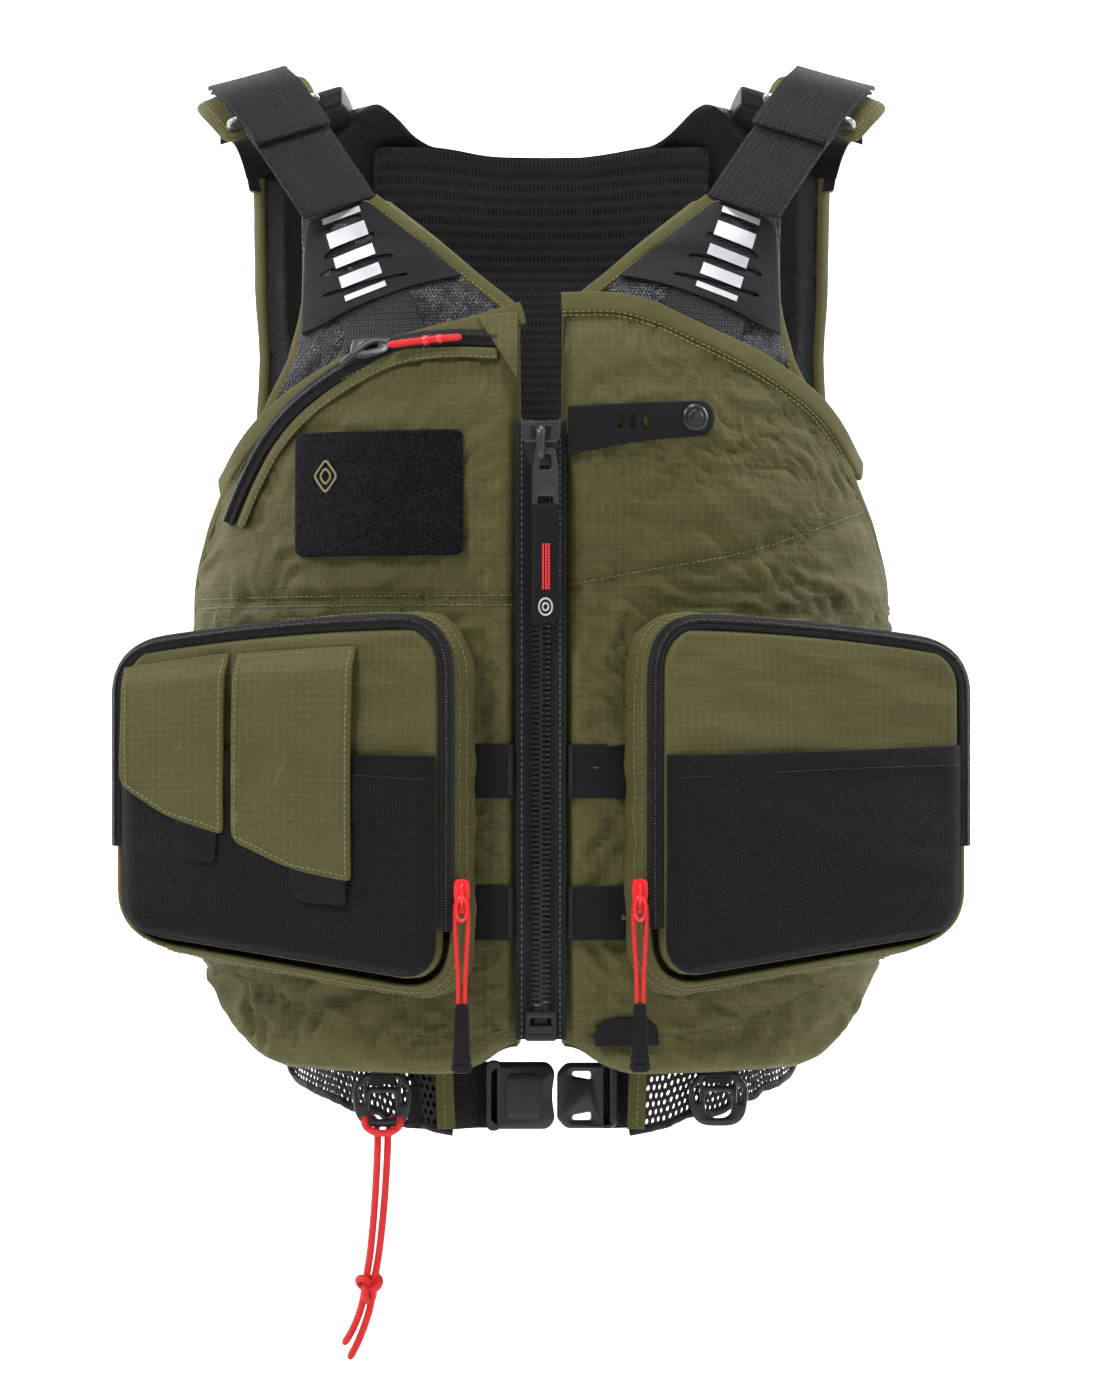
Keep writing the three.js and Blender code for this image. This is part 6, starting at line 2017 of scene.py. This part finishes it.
def build_buckle():
    z, y = BUCKLE_Z, BUCKLE_Y
    socket = plate("buckle_socket_shell", smooth_loop([(-31, 15, 3), (-26, 19, 4), (4, 19, 5),
                                                       (8, 14, 3), (6, 0, 6), (8, -14, 3),
                                                       (4, -19, 5), (-26, -19, 4), (-31, -15, 3)],
                                                      4), 12.0, finish("plastic"),
                   [box_loop(-28.4, -17, -25.6, 17, 1.0)], 2.6, upright(0, y + 12, z))
    panel = plate("buckle_socket_panel", box_loop(-20, 13, 0, -13, 5), 1.6, finish("plastic"), (),
                  0.7, upright(0, y + 0.6, z))
    plug = plate("buckle_plug_shell", smooth_loop([(9, 13, 2), (14, 18.6, 3), (41, 18.6, 4),
                                                   (44, 15, 3), (44, -15, 3), (41, -18.6, 4),
                                                   (14, -18.6, 3), (9, -13, 2)], 3), 10.0,
                 finish("plastic"), [box_loop(36, -16, 38.6, 16, 1.0),
                                     smooth_loop([(18, -14), (28, -14), (28, -9), (18, -11)], 1.5),
                                     smooth_loop([(18, 14), (28, 14), (28, 9), (18, 11)], 1.5)],
                 2.2, upright(0, y + 11, z))
    for piece, body, node in ((socket, "back", "buckle_socket"), (panel, "back", None),
                              (plug, "belt_plug", "buckle_plug")):
        settle(piece, body, "black_plastic", *([node] if node else []))
    run = np.linspace(22, 74, 24)
    wing = front_at(run, np.full(24, z), -(FRONT_THICK + 3 + 2.4 + 0.8))[:, 1]
    belt_y = mix(-88.0, wing + 1.0, smooth(run, 34, 58))
    right = np.stack([-run, belt_y, np.full(24, z)], -1)
    left = np.array([(34, -91.5, z), (42, -90, z), (48, -88.4, z), (52, -88.2, z), (56, -88.1, z)],
                    float)
    for side_name, body, points in (("right", "back", right), ("left", "belt_plug", left)):
        belt = swept(points, np.broadcast_to([0, -1.0, 0.001], points.shape),
                     strap_section(38, 1.9))
        sew(belt, f"belt_webbing_{side_name}", "webbing", body, "webbing", f"waist_web_{side_name}")


def build_waist():
    build_wings()
    for side_name, _ in SIDES:
        build_ring(side_name)
    build_buckle()


# ---- operators and panel ------------------------------------------------------------------------
class VEST_OT_stage(Operator):
    """Camera, studio lights and a pale floor"""
    bl_idname = "vest.stage"
    bl_label = "Stage"

    def execute(self, context):
        build_stage()
        return {"FINISHED"}


class VEST_OT_cords(Operator):
    """The lanyard with its hitch and knot, and the cords of the pocket zips"""
    bl_idname = "vest.cords"
    bl_label = "Cords"

    def execute(self, context):
        build_cords()
        return {"FINISHED"}


class VEST_OT_front_panels(Operator):
    """The two padded front panels with their hems and stitching"""
    bl_idname = "vest.front_panels"
    bl_label = "Front panels"

    def execute(self, context):
        build_front_panels()
        return {"FINISHED"}


class VEST_OT_back(Operator):
    """The padded back, its bindings and its spacer mesh lining"""
    bl_idname = "vest.back"
    bl_label = "Back"

    def execute(self, context):
        build_back()
        return {"FINISHED"}


class VEST_OT_shoulders(Operator):
    """The padded shoulder yokes"""
    bl_idname = "vest.shoulders"
    bl_label = "Shoulders"

    def execute(self, context):
        build_shoulders()
        return {"FINISHED"}


class VEST_OT_straps(Operator):
    """The folded shoulder webbing, its rings and the olive tabs behind it"""
    bl_idname = "vest.straps"
    bl_label = "Straps"

    def execute(self, context):
        build_straps()
        return {"FINISHED"}


class VEST_OT_fittings(Operator):
    """Rubber yokes, chest pocket zip, loop panel, snap strap and lash tabs"""
    bl_idname = "vest.fittings"
    bl_label = "Chest fittings"

    def execute(self, context):
        build_fittings()
        return {"FINISHED"}


class VEST_OT_main_zip(Operator):
    """The front zip with its teeth, tapes, slider and pull"""
    bl_idname = "vest.main_zip"
    bl_label = "Front zip"

    def execute(self, context):
        build_main_zip()
        return {"FINISHED"}


class VEST_OT_waist(Operator):
    """Waist mesh, belt webbing, buckle and lash rings"""
    bl_idname = "vest.waist"
    bl_label = "Waist"

    def execute(self, context):
        build_waist()
        return {"FINISHED"}


class VEST_OT_pockets(Operator):
    """Both cargo pockets with zips, doors, knit pouches, tool flaps and pulls"""
    bl_idname = "vest.pockets"
    bl_label = "Pockets"

    def execute(self, context):
        build_pockets()
        return {"FINISHED"}


OPERATORS = (VEST_OT_stage, VEST_OT_cords, VEST_OT_front_panels, VEST_OT_back, VEST_OT_shoulders,
             VEST_OT_straps, VEST_OT_fittings, VEST_OT_main_zip, VEST_OT_waist, VEST_OT_pockets)


class VEST_PT_panel(Panel):
    """Lists the vest's sizes, colours and pieces in the sidebar."""
    bl_idname = "VEST_PT_panel"
    bl_label = "Fishing vest"
    bl_space_type = "VIEW_3D"
    bl_region_type = "UI"
    bl_category = "Vest"

    def draw(self, context):
        for group in (context.scene.vest_sizes, context.scene.vest_colours):
            for name in group.__annotations__:
                self.layout.prop(group, name)
        for each in OPERATORS:
            self.layout.operator(each.bl_idname)


CLASSES = (VestSizes, VestColours, *OPERATORS, VEST_PT_panel)


def register():
    for each in CLASSES:
        bpy.utils.register_class(each)
    bpy.types.Scene.vest_sizes = PointerProperty(type=VestSizes)
    bpy.types.Scene.vest_colours = PointerProperty(type=VestColours)


def unregister():
    del bpy.types.Scene.vest_colours
    del bpy.types.Scene.vest_sizes
    for each in reversed(CLASSES):
        bpy.utils.unregister_class(each)


def main():
    register()
    for each in OPERATORS:
        getattr(bpy.ops.vest, each.bl_idname.split(".")[1])()


if __name__ == "__main__":
    main()
